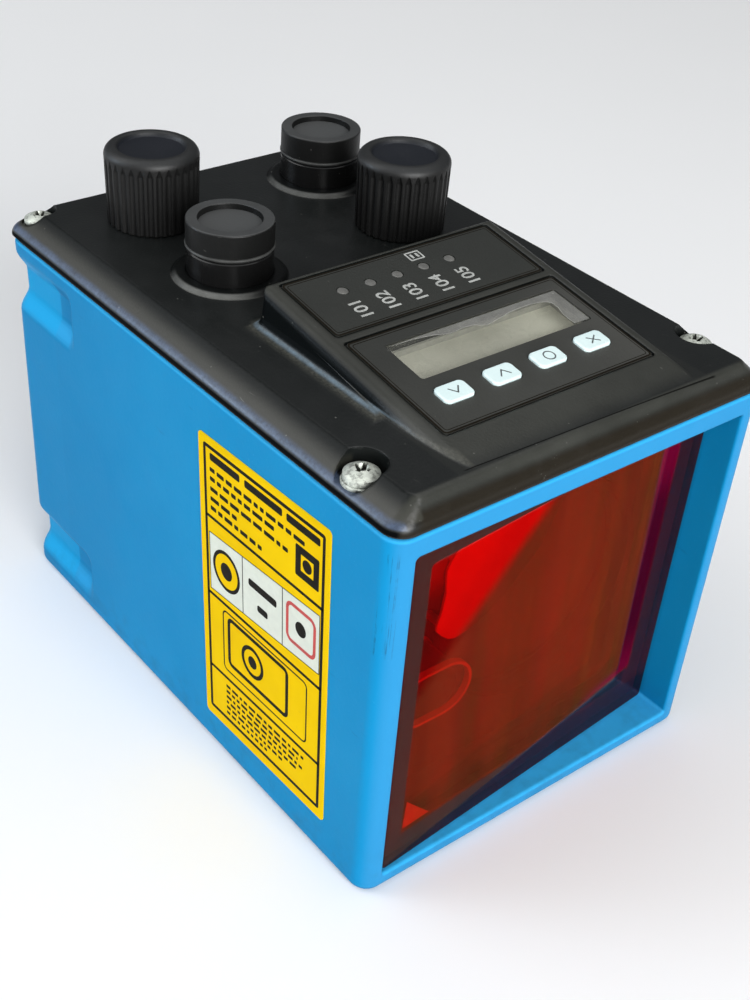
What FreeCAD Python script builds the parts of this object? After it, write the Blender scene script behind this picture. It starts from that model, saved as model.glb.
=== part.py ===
import FreeCAD, Part
import math
import os

V = FreeCAD.Vector
os.makedirs("parts", exist_ok=True)

# ----------------------------------------------------------------------------
# Driving dimensions, millimetres.  +Z up, window side faces -Y, label side -X,
# origin at the bottom centre of the box.
# ----------------------------------------------------------------------------
BODY_W = 69.4            # width of the box, X
BODY_D = 101.5           # depth of the box, Y
BODY_H = 66.0            # height of the blue housing
WALL = 3.5               # cast wall
R_FRONT = 3.0            # vertical edges at the front
R_REAR = 4.0             # vertical edges at the rear
R_COVER = 2.8            # the same edges on the cover
R_BOTTOM = 1.5           # edge round the bottom
R_RIM = 0.5              # edge round the rim under the cover
RECESS = 1.6             # depth of the hollows round the rear corners

OPEN_X = 30.9            # half width of the front opening
OPEN_Z0 = 3.0            # front opening, lower edge
OPEN_Z1 = 62.6           # front opening, upper edge
LEDGE_X = 27.4           # half width of the clear opening behind the window
LEDGE_Z0 = 6.5
LEDGE_Z1 = 59.1
WIN_TILT = 4.626         # window turned about Z, degrees
WIN_Y = -47.65           # front face of the window on the centre line
WIN_T = 3.0              # window plate
SEAL_T = 0.5             # adhesive frame behind the window
LEDGE_T = 2.5            # cast ledge behind the adhesive frame

GASKET_T = 0.6           # flat gasket on the housing rim
COVER_Z0 = BODY_H + GASKET_T
BAND_Z = 67.5            # top of the upright band of the cover
FLAT_Z = 70.8            # flat top of the cover
CEIL_Z = 68.3            # underside of the flat top
FLAT_X = 30.9            # half width of the flat top
FLAT_Y0 = -48.9          # front edge of the flat top
FLAT_Y1 = 47.0           # rear edge of the flat top

SCREW_XF = 31.3          # cover screws at the front
SCREW_YF = -39.3
SCREW_XR = 30.4          # and at the rear
SCREW_YR = 46.9
SEAT_Z = 67.8            # floor of the screw pockets
POCKET_RF = 3.4          # radius of the pockets at the front
POCKET_RR = 2.85         # and at the rear

PANEL_Y = -48.76         # front crease of the sloping panel
PANEL_Z = 70.70
PANEL_TILT = 7.79        # degrees
PANEL_L = 45.7           # length of the panel along the slope
HUMP_X = 22.3            # half width of the hump

PORT_X = 16.6            # screw connectors, half spacing in X
PORT_YF = 12.2
PORT_YR = 34.2

KEY_S = 13.95            # keys, distance from the crease along the panel
KEY_X = (-12.6, -4.0, 4.6, 13.2)
KEY_TRAVEL = 0.4
LED_S = 39.7             # indicator lights
LED_X = (-11.9, -6.9, -1.9, 3.1, 8.1)

FOOT_X = 22.0            # threaded mounting holes in the bottom
FOOT_Y = 30.0
FOOT_R = 2.5

LABEL_W = 31.5           # side label
LABEL_H = 53.0
LABEL_Y = -23.75         # its centre
LABEL_Z = 33.6
LABEL_TURN = 2.3         # degrees, front end up

LENS_X = 6.5             # receiving lens axis
LENS_Z = 32.5
BEAM_X = -19.4           # laser barrel axis
BEAM_Z = 28.9

W2 = BODY_W / 2
D2 = BODY_D / 2

BUILT = []


# ----------------------------------------------------------------------------
# Helpers
# ----------------------------------------------------------------------------
def box(x0, x1, y0, y1, z0, z1):
    return Part.makeBox(x1 - x0, y1 - y0, z1 - z0, V(x0, y0, z0))


def cyl(r, z0, z1, x=0.0, y=0.0):
    return Part.makeCylinder(r, z1 - z0, V(x, y, z0), V(0, 0, 1))


def cyl_y(r, y0, y1, x, z):
    return Part.makeCylinder(r, y1 - y0, V(x, y0, z), V(0, 1, 0))


def cone_y(r0, r1, y0, y1, x, z):
    return Part.makeCone(r0, r1, y1 - y0, V(x, y0, z), V(0, 1, 0))


def rrect(x0, x1, y0, y1, r, z=0.0):
    """Closed wire of a rectangle with rounded corners, in the XY plane."""
    if not isinstance(r, (tuple, list)):
        r = (r, r, r, r)
    ra, rb, rc, rd = r

    def arc(cx, cy, rad, a0):
        pts = []
        for a in (a0, a0 + 45.0, a0 + 90.0):
            t = math.radians(a)
            pts.append(V(cx + rad * math.cos(t), cy + rad * math.sin(t), z))
        return pts

    a = arc(x0 + ra, y0 + ra, ra, 180.0)
    b = arc(x1 - rb, y0 + rb, rb, 270.0)
    c = arc(x1 - rc, y1 - rc, rc, 0.0)
    d = arc(x0 + rd, y1 - rd, rd, 90.0)
    edges = [
        Part.Arc(*a).toShape(), Part.LineSegment(a[2], b[0]).toShape(),
        Part.Arc(*b).toShape(), Part.LineSegment(b[2], c[0]).toShape(),
        Part.Arc(*c).toShape(), Part.LineSegment(c[2], d[0]).toShape(),
        Part.Arc(*d).toShape(), Part.LineSegment(d[2], a[0]).toShape(),
    ]
    return Part.Wire(edges)


def plate(x0, x1, y0, y1, z0, z1, r):
    return Part.Face(rrect(x0, x1, y0, y1, r, z0)).extrude(V(0, 0, z1 - z0))


def upright(x0, x1, z0, z1, y0, y1, r):
    """Rounded rectangle in X and Z, extruded along Y."""
    s = Part.Face(rrect(x0, x1, z0, z1, r, 0.0))
    s.rotate(V(0, 0, 0), V(1, 0, 0), 90)
    s.translate(V(0, y0, 0))
    return s.extrude(V(0, y1 - y0, 0))


def polygon(points):
    pts = [V(*p) for p in points]
    return Part.Face(Part.makePolygon(pts + [pts[0]]))


def turned(points, x=0.0, y=0.0):
    """Solid of revolution about a vertical axis from (radius, z) points."""
    f = polygon([(r, 0, z) for r, z in points])
    s = f.revolve(V(0, 0, 0), V(0, 0, 1), 360)
    s.translate(V(x, y, 0))
    return s


def turned_wire(edges, x=0.0, y=0.0):
    s = Part.Face(Part.Wire(edges)).revolve(V(0, 0, 0), V(0, 0, 1), 360)
    s.translate(V(x, y, 0))
    return s


def seg(a, b):
    return Part.LineSegment(V(a[0], 0, a[1]), V(b[0], 0, b[1])).toShape()


def arc3(a, m, b):
    return Part.Arc(V(a[0], 0, a[1]), V(m[0], 0, m[1]), V(b[0], 0, b[1])).toShape()


def dome_arc(r, z0, z1):
    """Arc from (r, z0) to the axis at z1, centred on the axis."""
    h = z1 - z0
    rad = (r * r + h * h) / (2 * h)
    a = math.asin(r / rad) / 2
    return arc3((r, z0), (rad * math.sin(a), z1 - rad + rad * math.cos(a)), (0, z1))


def fuse(shapes):
    s = shapes[0].multiFuse(list(shapes[1:])) if len(shapes) > 1 else shapes[0]
    return s.removeSplitter()


def rounded(shape, radius, pick):
    """Fillet the edges that pick() accepts; the shape stays as it is if none fit."""
    edges = [e for e in shape.Edges if pick(e)]
    if not edges:
        return shape
    try:
        s = shape.makeFillet(radius, edges)
        if s.isValid() and s.Volume > 0:
            return s
    except Exception:
        pass
    return shape


def window_frame(shape):
    """From window coordinates (x along, y inwards, z up) to the object frame."""
    s = shape.copy()
    s.Placement = FreeCAD.Placement(
        V(0, WIN_Y, 0), FreeCAD.Rotation(V(0, 0, 1), WIN_TILT)).multiply(s.Placement)
    return s


PANEL = FreeCAD.Placement(V(0, PANEL_Y, PANEL_Z),
                          FreeCAD.Rotation(V(1, 0, 0), PANEL_TILT))


def on_panel(shape):
    """From panel coordinates (x, distance up the slope, height) to the frame."""
    s = shape.copy()
    s.Placement = PANEL.multiply(s.Placement)
    return s


def put(name, shape):
    solids = shape.Solids
    assert solids, name
    for s in solids:
        assert s.isValid() and s.Volume > 0, name
    out = solids[0] if len(solids) == 1 else Part.makeCompound(solids)
    out.exportStep("parts/%s.step" % name)
    BUILT.append((name, len(solids), out))


def group(name, solids):
    put(name, Part.makeCompound(solids))


SCREWS = [(sx * x, y) for x, y in ((SCREW_XF, SCREW_YF), (SCREW_XR, SCREW_YR)) for sx in (-1, 1)]
FEET = [(sx * FOOT_X, sy * FOOT_Y) for sy in (-1, 1) for sx in (-1, 1)]
CAPS = {"rear_left": (-PORT_X, PORT_YR), "front_right": (PORT_X, PORT_YF)}
PLUGS = {"front_left": (-PORT_X, PORT_YF), "rear_right": (PORT_X, PORT_YR)}

OUTLINE_R = (R_FRONT, R_FRONT, R_REAR, R_REAR)
COVER_R = (R_FRONT, R_FRONT, R_COVER, R_COVER)


# ----------------------------------------------------------------------------
# Housing: cast box, open at the top, framed opening at the front
# ----------------------------------------------------------------------------
def beyond(y_local):
    """Everything behind a plane parallel to the window."""
    return window_frame(box(-90, 90, y_local, 200, -20, 120))


def corner_recess(z0, z1, y0, x0, depth, up, down):
    """Soft-edged hollow round the rear left corner: a stack of outlines, each set in by
    the depth at its height, with sloping ends on the side face and the rear face."""
    n = 7
    levels = [(z0 - 0.1, -0.03)]
    for i in range(1, n + 1):
        s = i / n
        levels.append((z0 + up * s, depth * s * s * (3 - 2 * s)))
    for i in range(n - 1, -1, -1):
        s = i / n
        levels.append((z1 - down * s, depth * s * s * (3 - 2 * s)))
    levels[-1] = (z1 + 0.1, -0.03)
    q = math.sqrt(0.5)
    cx, cy = -W2 + R_REAR, D2 - R_REAR
    wires = []
    for z, d in levels:
        r = R_REAR - d
        ramp = 2.2
        pts = [V(-W2 - 0.05, y0, z), V(-W2 + d, y0 + ramp, z), V(-W2 + d, cy, z),
               V(cx - r * q, cy + r * q, z), V(cx, D2 - d, z), V(x0 - ramp, D2 - d, z),
               V(x0, D2 + 0.05, z), V(-W2 - 0.05, D2 + 0.05, z)]
        e = [Part.LineSegment(pts[0], pts[1]).toShape(), Part.LineSegment(pts[1], pts[2]).toShape(),
             Part.Arc(pts[2], pts[3], pts[4]).toShape(), Part.LineSegment(pts[4], pts[5]).toShape(),
             Part.LineSegment(pts[5], pts[6]).toShape(), Part.LineSegment(pts[6], pts[7]).toShape(),
             Part.LineSegment(pts[7], pts[0]).toShape()]
        wires.append(Part.Wire(e))
    return Part.makeLoft(wires, True, True)


def make_housing():
    outer = plate(-W2, W2, -D2, D2, 0, BODY_H, OUTLINE_R)
    outer = rounded(outer, R_BOTTOM, lambda e: abs(e.BoundBox.ZMin) < 1e-6
                    and abs(e.BoundBox.ZMax) < 1e-6)
    outer = rounded(outer, R_RIM, lambda e: abs(e.BoundBox.ZMin - BODY_H) < 1e-6
                    and abs(e.BoundBox.ZMax - BODY_H) < 1e-6)

    # front opening down to the slanted window seat
    seat = upright(-OPEN_X, OPEN_X, OPEN_Z0, OPEN_Z1, -D2 - 10, -30, 0.6)
    seat = seat.cut(beyond(WIN_T + SEAL_T))
    through = upright(-LEDGE_X, LEDGE_X, LEDGE_Z0, LEDGE_Z1, -D2 - 10, -20, 2.5)

    # main cavity, its front end parallel to the window
    cavity = plate(-W2 + WALL, W2 - WALL, -D2 - 30, D2 - WALL, WALL, BODY_H + 10,
                   (0.5, 0.5, 2.0, 2.0))
    cavity = cavity.common(beyond(WIN_T + SEAL_T + LEDGE_T))

    body = outer.cut([seat, through, cavity])

    # pillars for the cover screws, bosses for the feet and the optics
    adds = []
    for x, y in SCREWS:
        sx = 1 if x > 0 else -1
        xa, xb = sorted((sx * 27.4, sx * (W2 - 1.5)))
        y0, y1 = (y - 2.1, y + 3.6) if y < 0 else (y - 4.0, D2 - 1.5)
        adds.append(box(xa, xb, y0, y1, WALL - 0.5, BODY_H))
    for x, y in FEET:
        adds.append(cyl(5.0, WALL - 0.5, 10.0, x, y))
    for x, y in CARRIER_SCREWS:
        adds.append(cyl(3.0, WALL - 0.5, 7.5, x, y))
    body = fuse([body] + adds)

    cuts = []
    for x, y in SCREWS:
        cuts.append(cyl(1.5, 54.0, BODY_H + 1, x, y))
    for x, y in FEET:
        cuts.append(cyl(FOOT_R, -1.0, 8.0, x, y))
    for x, y in CARRIER_SCREWS:
        cuts.append(cyl(1.25, 4.3, 9.0, x, y))
    for x, y in BOARD_POSTS:
        cuts.append(cyl(1.3, 1.8, WALL + 1.0, x, y))
    recesses = [corner_recess(53.2, 64.3, 29.6, -17.0, RECESS, 4.2, 3.7),
                corner_recess(2.6, 13.5, 28.6, -17.0, RECESS, 5.0, 3.6)]
    for r in recesses:
        cuts.append(r)
        cuts.append(r.mirror(V(0, 0, 0), V(1, 0, 0)))
    body = body.cut(cuts)

    # broken edges round the front opening and the mounting holes
    def front_edge(e):
        b = e.BoundBox
        return (abs(b.YMin + D2) < 1e-4 and abs(b.YMax + D2) < 1e-4
                and b.XMin > -OPEN_X - 0.01 and b.XMax < OPEN_X + 0.01
                and b.ZMin > OPEN_Z0 - 0.01 and b.ZMax < OPEN_Z1 + 0.01)
    body = rounded(body, 0.55, front_edge)
    return body


CARRIER_SCREWS = [(-3.0, -22.0), (14.0, -20.0), (-3.0, -6.0), (14.0, -6.0)]
BOARD_POSTS = [(sx * 23.5, y) for y in (13.0, 41.0) for sx in (-1, 1)]

put("housing", make_housing())

# ----------------------------------------------------------------------------
# Window, adhesive frame, label
# ----------------------------------------------------------------------------
WX, WZ0, WZ1 = OPEN_X - 0.3, OPEN_Z0 + 0.2, OPEN_Z1 - 0.2
pane = upright(-WX, WX, WZ0, WZ1, 0, WIN_T, 0.6)
pane = rounded(pane, 0.25, lambda e: abs(e.BoundBox.YMax) < 1e-6)
put("front_window", window_frame(pane))
seal = upright(-WX + 0.2, WX - 0.2, WZ0 + 0.2, WZ1 - 0.2, WIN_T, WIN_T + SEAL_T, 0.6)
seal = seal.cut(upright(-LEDGE_X + 0.5, LEDGE_X - 0.5, LEDGE_Z0 + 0.5, LEDGE_Z1 - 0.5,
                        WIN_T - 1, WIN_T + SEAL_T + 1, 2.0))
put("window_seal", window_frame(seal))

label = upright(-LABEL_W / 2, LABEL_W / 2, -LABEL_H / 2, LABEL_H / 2, 0, 0.12, 0.8)
label.rotate(V(0, 0, 0), V(0, 0, 1), 90)
label.rotate(V(0, 0, 0), V(1, 0, 0), -LABEL_TURN)
label.translate(V(-W2, LABEL_Y, LABEL_Z))
put("side_label", label)


# ----------------------------------------------------------------------------
# Cover, gasket, cover screws
# ----------------------------------------------------------------------------
def hump_outline(z, grow):
    return rrect(-HUMP_X - grow, HUMP_X + grow, PANEL_Y - 0.1,
                 PANEL_Y + PANEL_L * math.cos(math.radians(PANEL_TILT)) + grow,
                 (0.4, 0.4, 1.6 + max(grow, 0) * 0.5, 1.6 + max(grow, 0) * 0.5), z)


def make_cover():
    band = plate(-W2, W2, -D2, D2, COVER_Z0, BAND_Z, COVER_R)
    bevel = Part.makeLoft([
        rrect(-W2, W2, -D2, D2, COVER_R, BAND_Z),
        rrect(-FLAT_X, FLAT_X, FLAT_Y0, FLAT_Y1, (1.6, 1.6, 2.0, 2.0), FLAT_Z)], True, True)
    body = fuse([band, bevel])

    def top_edge(e):
        b = e.BoundBox
        return abs(b.ZMin - FLAT_Z) < 1e-5 and abs(b.ZMax - FLAT_Z) < 1e-5

    def band_edge(e):
        b = e.BoundBox
        return abs(b.ZMin - BAND_Z) < 1e-5 and abs(b.ZMax - BAND_Z) < 1e-5

    body = rounded(body, 0.8, top_edge)
    body = rounded(body, 1.8, band_edge)

    # sloping hump: flared foot, drafted sides, rounded upper edges
    levels = [(FLAT_Z - 1.5, 3.0), (FLAT_Z, 3.0), (FLAT_Z + 0.03, 2.35), (FLAT_Z + 0.09, 1.7),
              (FLAT_Z + 0.18, 1.15), (FLAT_Z + 0.32, 0.75), (FLAT_Z + 0.55, 0.45), (FLAT_Z + 0.95, 0.25),
              (FLAT_Z + 1.6, 0.1), (FLAT_Z + 9.0, -0.35)]
    flare = Part.makeLoft([hump_outline(z, g) for z, g in levels], True, True)
    # cross section of the hump: rounded upper left and right edges
    ra = 2.0
    sec = rrect(-HUMP_X - 0.05, HUMP_X + 0.05, -30, 0, ra)
    long_prism = Part.Face(sec)
    long_prism.rotate(V(0, 0, 0), V(1, 0, 0), 90)
    long_prism.translate(V(0, 80, 0))
    long_prism = long_prism.extrude(V(0, -120, 0))
    # the flared foot is wider than the section, so the section widens below the top
    wide = box(-HUMP_X - 4, HUMP_X + 4, -40, 80, -40, -ra)
    keep = on_panel(long_prism.fuse(wide))
    return body, flare, keep


def side_section_prism():
    """Profile in slope distance and height, extruded across the hump."""
    r = 0.8
    e = PANEL_L + 0.02
    q = math.sqrt(0.5)
    edges = [
        Part.LineSegment(V(0, -60, 0), V(0, e - r, 0)).toShape(),
        Part.Arc(V(0, e - r, 0), V(0, e - r + r * q, -r + r * q), V(0, e, -r)).toShape(),
        Part.LineSegment(V(0, e, -r), V(0, e + 8, -r - 0.01)).toShape(),
        Part.LineSegment(V(0, e + 8, -r - 0.01), V(0, e + 8, -60)).toShape(),
        Part.LineSegment(V(0, e + 8, -60), V(0, -60, -60)).toShape(),
        Part.LineSegment(V(0, -60, -60), V(0, -60, 0)).toShape(),
    ]
    f = Part.Face(Part.Wire(edges))
    f.translate(V(-60, 0, 0))
    return on_panel(f.extrude(V(120, 0, 0)))


def finish_cover():
    body, flare, keep = make_cover()
    hump = flare.common(keep).common(side_section_prism())
    body = fuse([body, hump])

    # collars at the foot of the two socket bushes
    collars = []
    for x, y in PLUGS.values():
        r_out, r_top, h = 8.8, 7.5, 0.7
        edges = [seg((6.2, FLAT_Z - 0.5), (r_out, FLAT_Z - 0.5)),
                 seg((r_out, FLAT_Z - 0.5), (r_out, FLAT_Z)),
                 arc3((r_out, FLAT_Z), (r_out - 0.34, FLAT_Z + 0.44), (r_top, FLAT_Z + h)),
                 seg((r_top, FLAT_Z + h), (6.2, FLAT_Z + h)),
                 seg((6.2, FLAT_Z + h), (6.2, FLAT_Z - 0.5))]
        collars.append(turned_wire(edges, x, y))
    body = fuse([body] + collars)

    cuts = []
    # shallow hollow under the flat top, deeper one under the hump
    cuts.append(plate(-26.8, 26.8, -37.6, 42.4, COVER_Z0 - 1, CEIL_Z, 1.5))
    hollow = on_panel(plate(-20.3, 20.3, 10.0, 43.6, -30, -2.4, 1.5))
    cuts.append(hollow.common(box(-60, 60, -37.9, 40, COVER_Z0 - 1, 90)))
    # panel recesses for the two overlays
    for s0, s1 in ((KO_S0 - 0.35, KO_S1 + 0.35), (LO_S0 - 0.35, LO_S1 + 0.3)):
        cuts.append(on_panel(plate(-OV_X - 0.35, OV_X + 0.35, s0, s1, -0.55, 3.0, 0.7)))
    # display opening, key openings, light guide holes
    cuts.append(on_panel(plate(LCD_X0 - 0.15, LCD_X1 + 0.15, LCD_S0 - 0.15, LCD_S1 + 0.15,
                               -6.0, 1.0, 0.5)))
    for x in KEY_X:
        cuts.append(on_panel(plate(x - 2.75, x + 2.75, KEY_S - 1.9, KEY_S + 1.9,
                                   -6.0, 1.0, 1.05)))
    for x in LED_X:
        c = cyl(1.0, -6.0, 1.0, x, LED_S)
        cuts.append(on_panel(c))
    # connector holes
    for x, y in CAPS.values():
        cuts.append(cyl(6.05, 60, 75, x, y))
    for x, y in PLUGS.values():
        cuts.append(cyl(6.4, 60, FLAT_Z, x, y))
        cuts.append(cyl(6.7, FLAT_Z, FLAT_Z + 4, x, y))
    # screw pockets
    for x, y in SCREWS:
        cuts.append(cyl(POCKET_RF if y < 0 else POCKET_RR, SEAT_Z, 76, x, y))
        cuts.append(cyl(1.7, 60, 76, x, y))
    body = body.cut(cuts)

    # posts that carry the display board
    posts = []
    for x, s in PANEL_POSTS:
        p = cyl(1.4, -5.6, -2.0, x, s).cut(cyl(0.75, -5.7, -2.8, x, s))
        posts.append(on_panel(p))
    return fuse([body] + posts)


OV_X = 19.4              # half width of the overlays
KO_S0, KO_S1 = 7.6, 29.1     # key overlay along the slope
LO_S0, LO_S1 = 31.0, 44.5    # indicator overlay along the slope
LCD_X0, LCD_X1 = -14.6, 17.4
LCD_S0, LCD_S1 = 18.2, 26.4
PANEL_POSTS = [(-17.9, 12.6), (17.9, 12.6), (-17.4, 41.6), (17.4, 41.6)]

put("top_cover", finish_cover())

ring = plate(-W2 + 0.4, W2 - 0.4, -D2 + 0.4, D2 - 0.4, BODY_H, COVER_Z0, OUTLINE_R)
ring = ring.cut(plate(-31.0, 31.0, -39.0, 47.0, BODY_H - 1, COVER_Z0 + 1, 1.5))
pads = []
for x, y in SCREWS:
    sx = 1 if x > 0 else -1
    xa, xb = sorted((sx * 27.4, sx * 33.0))
    ya, yb = (y - 2.8, y + 3.2) if y < 0 else (y - 4.0, 48.5)
    pads.append(box(xa, xb, ya, yb, BODY_H, COVER_Z0))
ring = fuse([ring] + pads).cut([cyl(1.8, 60, 70, x, y) for x, y in SCREWS])
put("cover_gasket", ring)


def cross_recess(x, y, z_top, size, depth, turn):
    """Cross slot with tapered walls for a screw head."""
    a = box(-size, size, -0.32, 0.32, z_top - depth, z_top + 2)
    b = box(-0.32, 0.32, -size, size, z_top - depth, z_top + 2)
    c = Part.makeCone(0.25, 0.95, depth * 1.15, V(0, 0, z_top - depth * 1.15), V(0, 0, 1))
    s = fuse([a, b, c])
    s.rotate(V(0, 0, 0), V(0, 0, 1), turn)
    s.translate(V(x, y, 0))
    return s


def pan_screw(x, y, z_seat, head_r, head_h, shank_r, length, turn=20.0, rise=0.45, cross=0.62):
    edge = head_h * rise
    edges = [seg((0, z_seat - length), (shank_r - 0.3, z_seat - length)),
             seg((shank_r - 0.3, z_seat - length), (shank_r, z_seat - length + 0.5)),
             seg((shank_r, z_seat - length + 0.5), (shank_r, z_seat)),
             seg((shank_r, z_seat), (head_r, z_seat)),
             seg((head_r, z_seat), (head_r, z_seat + edge)),
             dome_arc(head_r, z_seat + edge, z_seat + head_h),
             seg((0, z_seat + head_h), (0, z_seat - length))]
    s = turned_wire(edges, x, y)
    return s.cut(cross_recess(x, y, z_seat + head_h, head_r * cross, head_h * 0.62, turn))


TURNS = {0: 22.0, 1: 61.0, 2: 8.0, 3: 37.0}
group("cover_screws", [pan_screw(x, y, SEAT_Z + 0.55, 2.45, 1.8, 1.45, 13.0, TURNS[i], 0.5, 0.46)
                       for i, (x, y) in enumerate(SCREWS)])
group("cover_screw_washers", [turned([(1.62, SEAT_Z), (2.7, SEAT_Z), (2.7, SEAT_Z + 0.4),
                                      (2.55, SEAT_Z + 0.55), (1.62, SEAT_Z + 0.55)], x, y)
                              for x, y in SCREWS])

# ----------------------------------------------------------------------------
# Panel: overlays, display pane, keys, light guides
# ----------------------------------------------------------------------------
ov = plate(-OV_X, OV_X, KO_S0, KO_S1, -0.55, -0.03, 0.55)
ov = ov.cut([plate(LCD_X0 - 0.1, LCD_X1 + 0.1, LCD_S0 - 0.1, LCD_S1 + 0.1, -2, 1, 0.5)]
            + [plate(x - 2.72, x + 2.72, KEY_S - 1.87, KEY_S + 1.87, -2, 1, 1.02) for x in KEY_X])
put("key_overlay", on_panel(ov))

ov = plate(-OV_X, OV_X, LO_S0, LO_S1, -0.55, -0.03, 0.55)
ov = ov.cut([cyl(0.95, -2, 1, x, LED_S) for x in LED_X])
put("indicator_overlay", on_panel(ov))

pane = plate(LCD_X0, LCD_X1, LCD_S0, LCD_S1, -1.5, -0.16, 0.45)
pane = rounded(pane, 0.12, lambda e: abs(e.BoundBox.ZMin + 0.16) < 1e-6)
put("display_pane", on_panel(pane))

for i, x in enumerate(KEY_X):
    cap = plate(x - 2.6, x + 2.6, KEY_S - 1.75, KEY_S + 1.75, -0.8, 0.36, 0.95)
    cap = rounded(cap, 0.28, lambda e: abs(e.BoundBox.ZMin - 0.36) < 1e-6)
    stem = plate(x - 2.3, x + 2.3, KEY_S - 1.5, KEY_S + 1.5, -2.7, -0.8, 0.7)
    lip = plate(x - 3.1, x + 3.1, KEY_S - 2.2, KEY_S + 2.2, -3.1, -2.6, 1.2)
    foot = plate(x - 0.9, x + 0.9, KEY_S - 0.9, KEY_S + 0.9, -4.85, -3.0, 0.4)
    put("key_%d" % (i + 1), on_panel(fuse([cap, stem, lip, foot])))

guides = []
for x in LED_X:
    g = turned([(0, -4.3), (0.85, -4.3), (0.85, -3.2), (1.5, -3.2), (1.5, -2.5), (0.85, -2.5),
                (0.85, -0.12), (0.7, -0.02), (0, 0.02)], x, LED_S)
    guides.append(on_panel(g))
group("light_guides", guides)

# display module and board with its parts
lcd = plate(-16.3, 19.1, 16.6, 28.4, -5.6, -3.4, 0.4)
glass = plate(-15.6, 18.4, 17.2, 27.6, -3.4, -2.55, 0.2)
put("display_module", on_panel(lcd))
put("display_glass", on_panel(glass))
board = plate(-19.3, 19.3, 10.6, 43.2, -7.2, -5.6, 1.0)
board = board.cut([cyl(0.95, -9, 0, x, s) for x, s in PANEL_POSTS])
put("display_board", on_panel(board))
group("key_domes", [on_panel(turned([(0, -5.6), (2.1, -5.6), (2.1, -5.55), (1.4, -5.4),
                                     (0.7, -5.34), (0, -5.32)], x, KEY_S)) for x in KEY_X])
group("indicator_leds", [on_panel(fuse([box(x - 0.8, x + 0.8, LED_S - 0.6, LED_S + 0.6, -5.6, -5.0),
                                        box(x - 0.5, x + 0.5, LED_S - 0.5, LED_S + 0.5, -5.0, -4.6)]))
                         for x in LED_X])
small = []
for x, s in PANEL_POSTS:
    c = turned([(0, -8.4), (1.2, -8.4), (1.45, -8.1), (1.45, -7.2), (0.7, -7.2), (0.7, -3.4),
                (0, -3.4)], x, s)
    small.append(on_panel(c))
group("display_board_screws", small)

# ----------------------------------------------------------------------------
# Screw connectors
# ----------------------------------------------------------------------------
STUB_TOP = 80.4
PIN_POS = [(2.5 * math.cos(math.radians(a)), 2.5 * math.sin(math.radians(a)))
           for a in (45, 135, 225, 315)]


def thread_profile(r, z0, z1, pitch=1.0, depth=0.35):
    """Ridge points of a turned thread, from z0 up to z1."""
    pts = []
    z = z0
    while z + pitch <= z1 + 1e-6:
        pts += [(r - depth, z + 0.12), (r, z + 0.42), (r, z + 0.58), (r - depth, z + 0.88)]
        z += pitch
    return pts


def stub_shell(x, y):
    pts = [(4.6, 64.4), (5.6, 64.4), (5.6, 66.9), (7.5, 66.9), (7.5, CEIL_Z), (5.95, CEIL_Z),
           (5.95, 71.0)]
    pts += thread_profile(5.95, 71.0, 80.0)
    pts += [(5.55, 80.05), (5.45, STUB_TOP), (4.6, STUB_TOP)]
    return turned(pts, x, y)


def knurled_cap(x, y):
    zb, zt = 70.9, 83.2
    rb, rt = 7.3, 7.5
    rs = 1.45            # rounded shoulder
    q = math.sqrt(0.5)
    edges = [seg((6.05, zb), (rb - 0.15, zb)),
             seg((rb - 0.15, zb), (rb, zb + 0.2)),
             seg((rb, zb + 0.2), (rt, zt - rs)),
             arc3((rt, zt - rs), (rt - rs + rs * q, zt - rs + rs * q), (rt - rs, zt)),
             seg((rt - rs, zt), (rt - rs - 0.25, zt)),
             arc3((rt - rs - 0.25, zt), (rt - rs - 0.5, zt - 0.1), (rt - rs - 0.7, zt - 0.36)),
             seg((rt - rs - 0.7, zt - 0.36), (rt - rs - 0.95, zt - 0.72)),
             seg((rt - rs - 0.95, zt - 0.72), (0, zt - 0.95)),
             seg((0, zt - 0.95), (0, 81.3)),
             seg((0, 81.3), (6.05, 81.3)),
             seg((6.05, 81.3), (6.05, zb))]
    s = turned_wire(edges)
    grooves = []
    n, gr = 32, 0.5
    for i in range(n):
        a = 360.0 * i / n
        c0 = V(rb + 0.08, 0, zb - 0.6)
        c1 = V(rb + 0.08 + (rt - rb) * (80.7 - zb) / (zt - rs - zb), 0, 80.7)
        d = c1.sub(c0)
        g = Part.makeCylinder(gr, d.Length, c0, d)
        tip = Part.makeCone(gr, 0.04, 1.5, c1, d)
        g = g.fuse(tip)
        g.rotate(V(0, 0, 0), V(0, 0, 1), a)
        grooves.append(g)
    s = s.cut(grooves)
    s.translate(V(x, y, 0))
    return s


def socket_shell(x, y):
    pts = [(4.6, 64.4), (6.3, 64.4), (6.3, FLAT_Z), (6.66, FLAT_Z), (6.66, 75.1), (6.46, 75.3),
           (5.55, 75.3), (5.55, 71.9), (4.6, 71.4)]
    return turned(pts, x, y)


def blanking_plug(x, y):
    zs, zt = 75.6, 79.8
    r = 6.72
    lip = r + 0.12
    edges = [seg((0, 72.1), (5.1, 72.1)), seg((5.1, 72.1), (5.45, 72.5)),
             seg((5.45, 72.5), (5.45, zs)), seg((5.45, zs), (lip - 0.15, zs)),
             arc3((lip - 0.15, zs), (lip, zs + 0.2), (lip - 0.15, zs + 0.4)),
             seg((lip - 0.15, zs + 0.4), (r, zs + 0.6)),
             seg((r, zs + 0.6), (r, zt - 0.25)),
             arc3((r, zt - 0.25), (r - 0.08, zt - 0.08), (r - 0.25, zt)),
             seg((r - 0.25, zt), (5.05, zt)),
             arc3((5.05, zt), (4.94, zt - 0.04), (4.9, zt - 0.15)),
             seg((4.9, zt - 0.15), (4.8, zt - 0.9)),
             seg((4.8, zt - 0.9), (0, zt - 0.9)),
             seg((0, zt - 0.9), (0, 72.1))]
    return turned_wire(edges, x, y)


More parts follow.
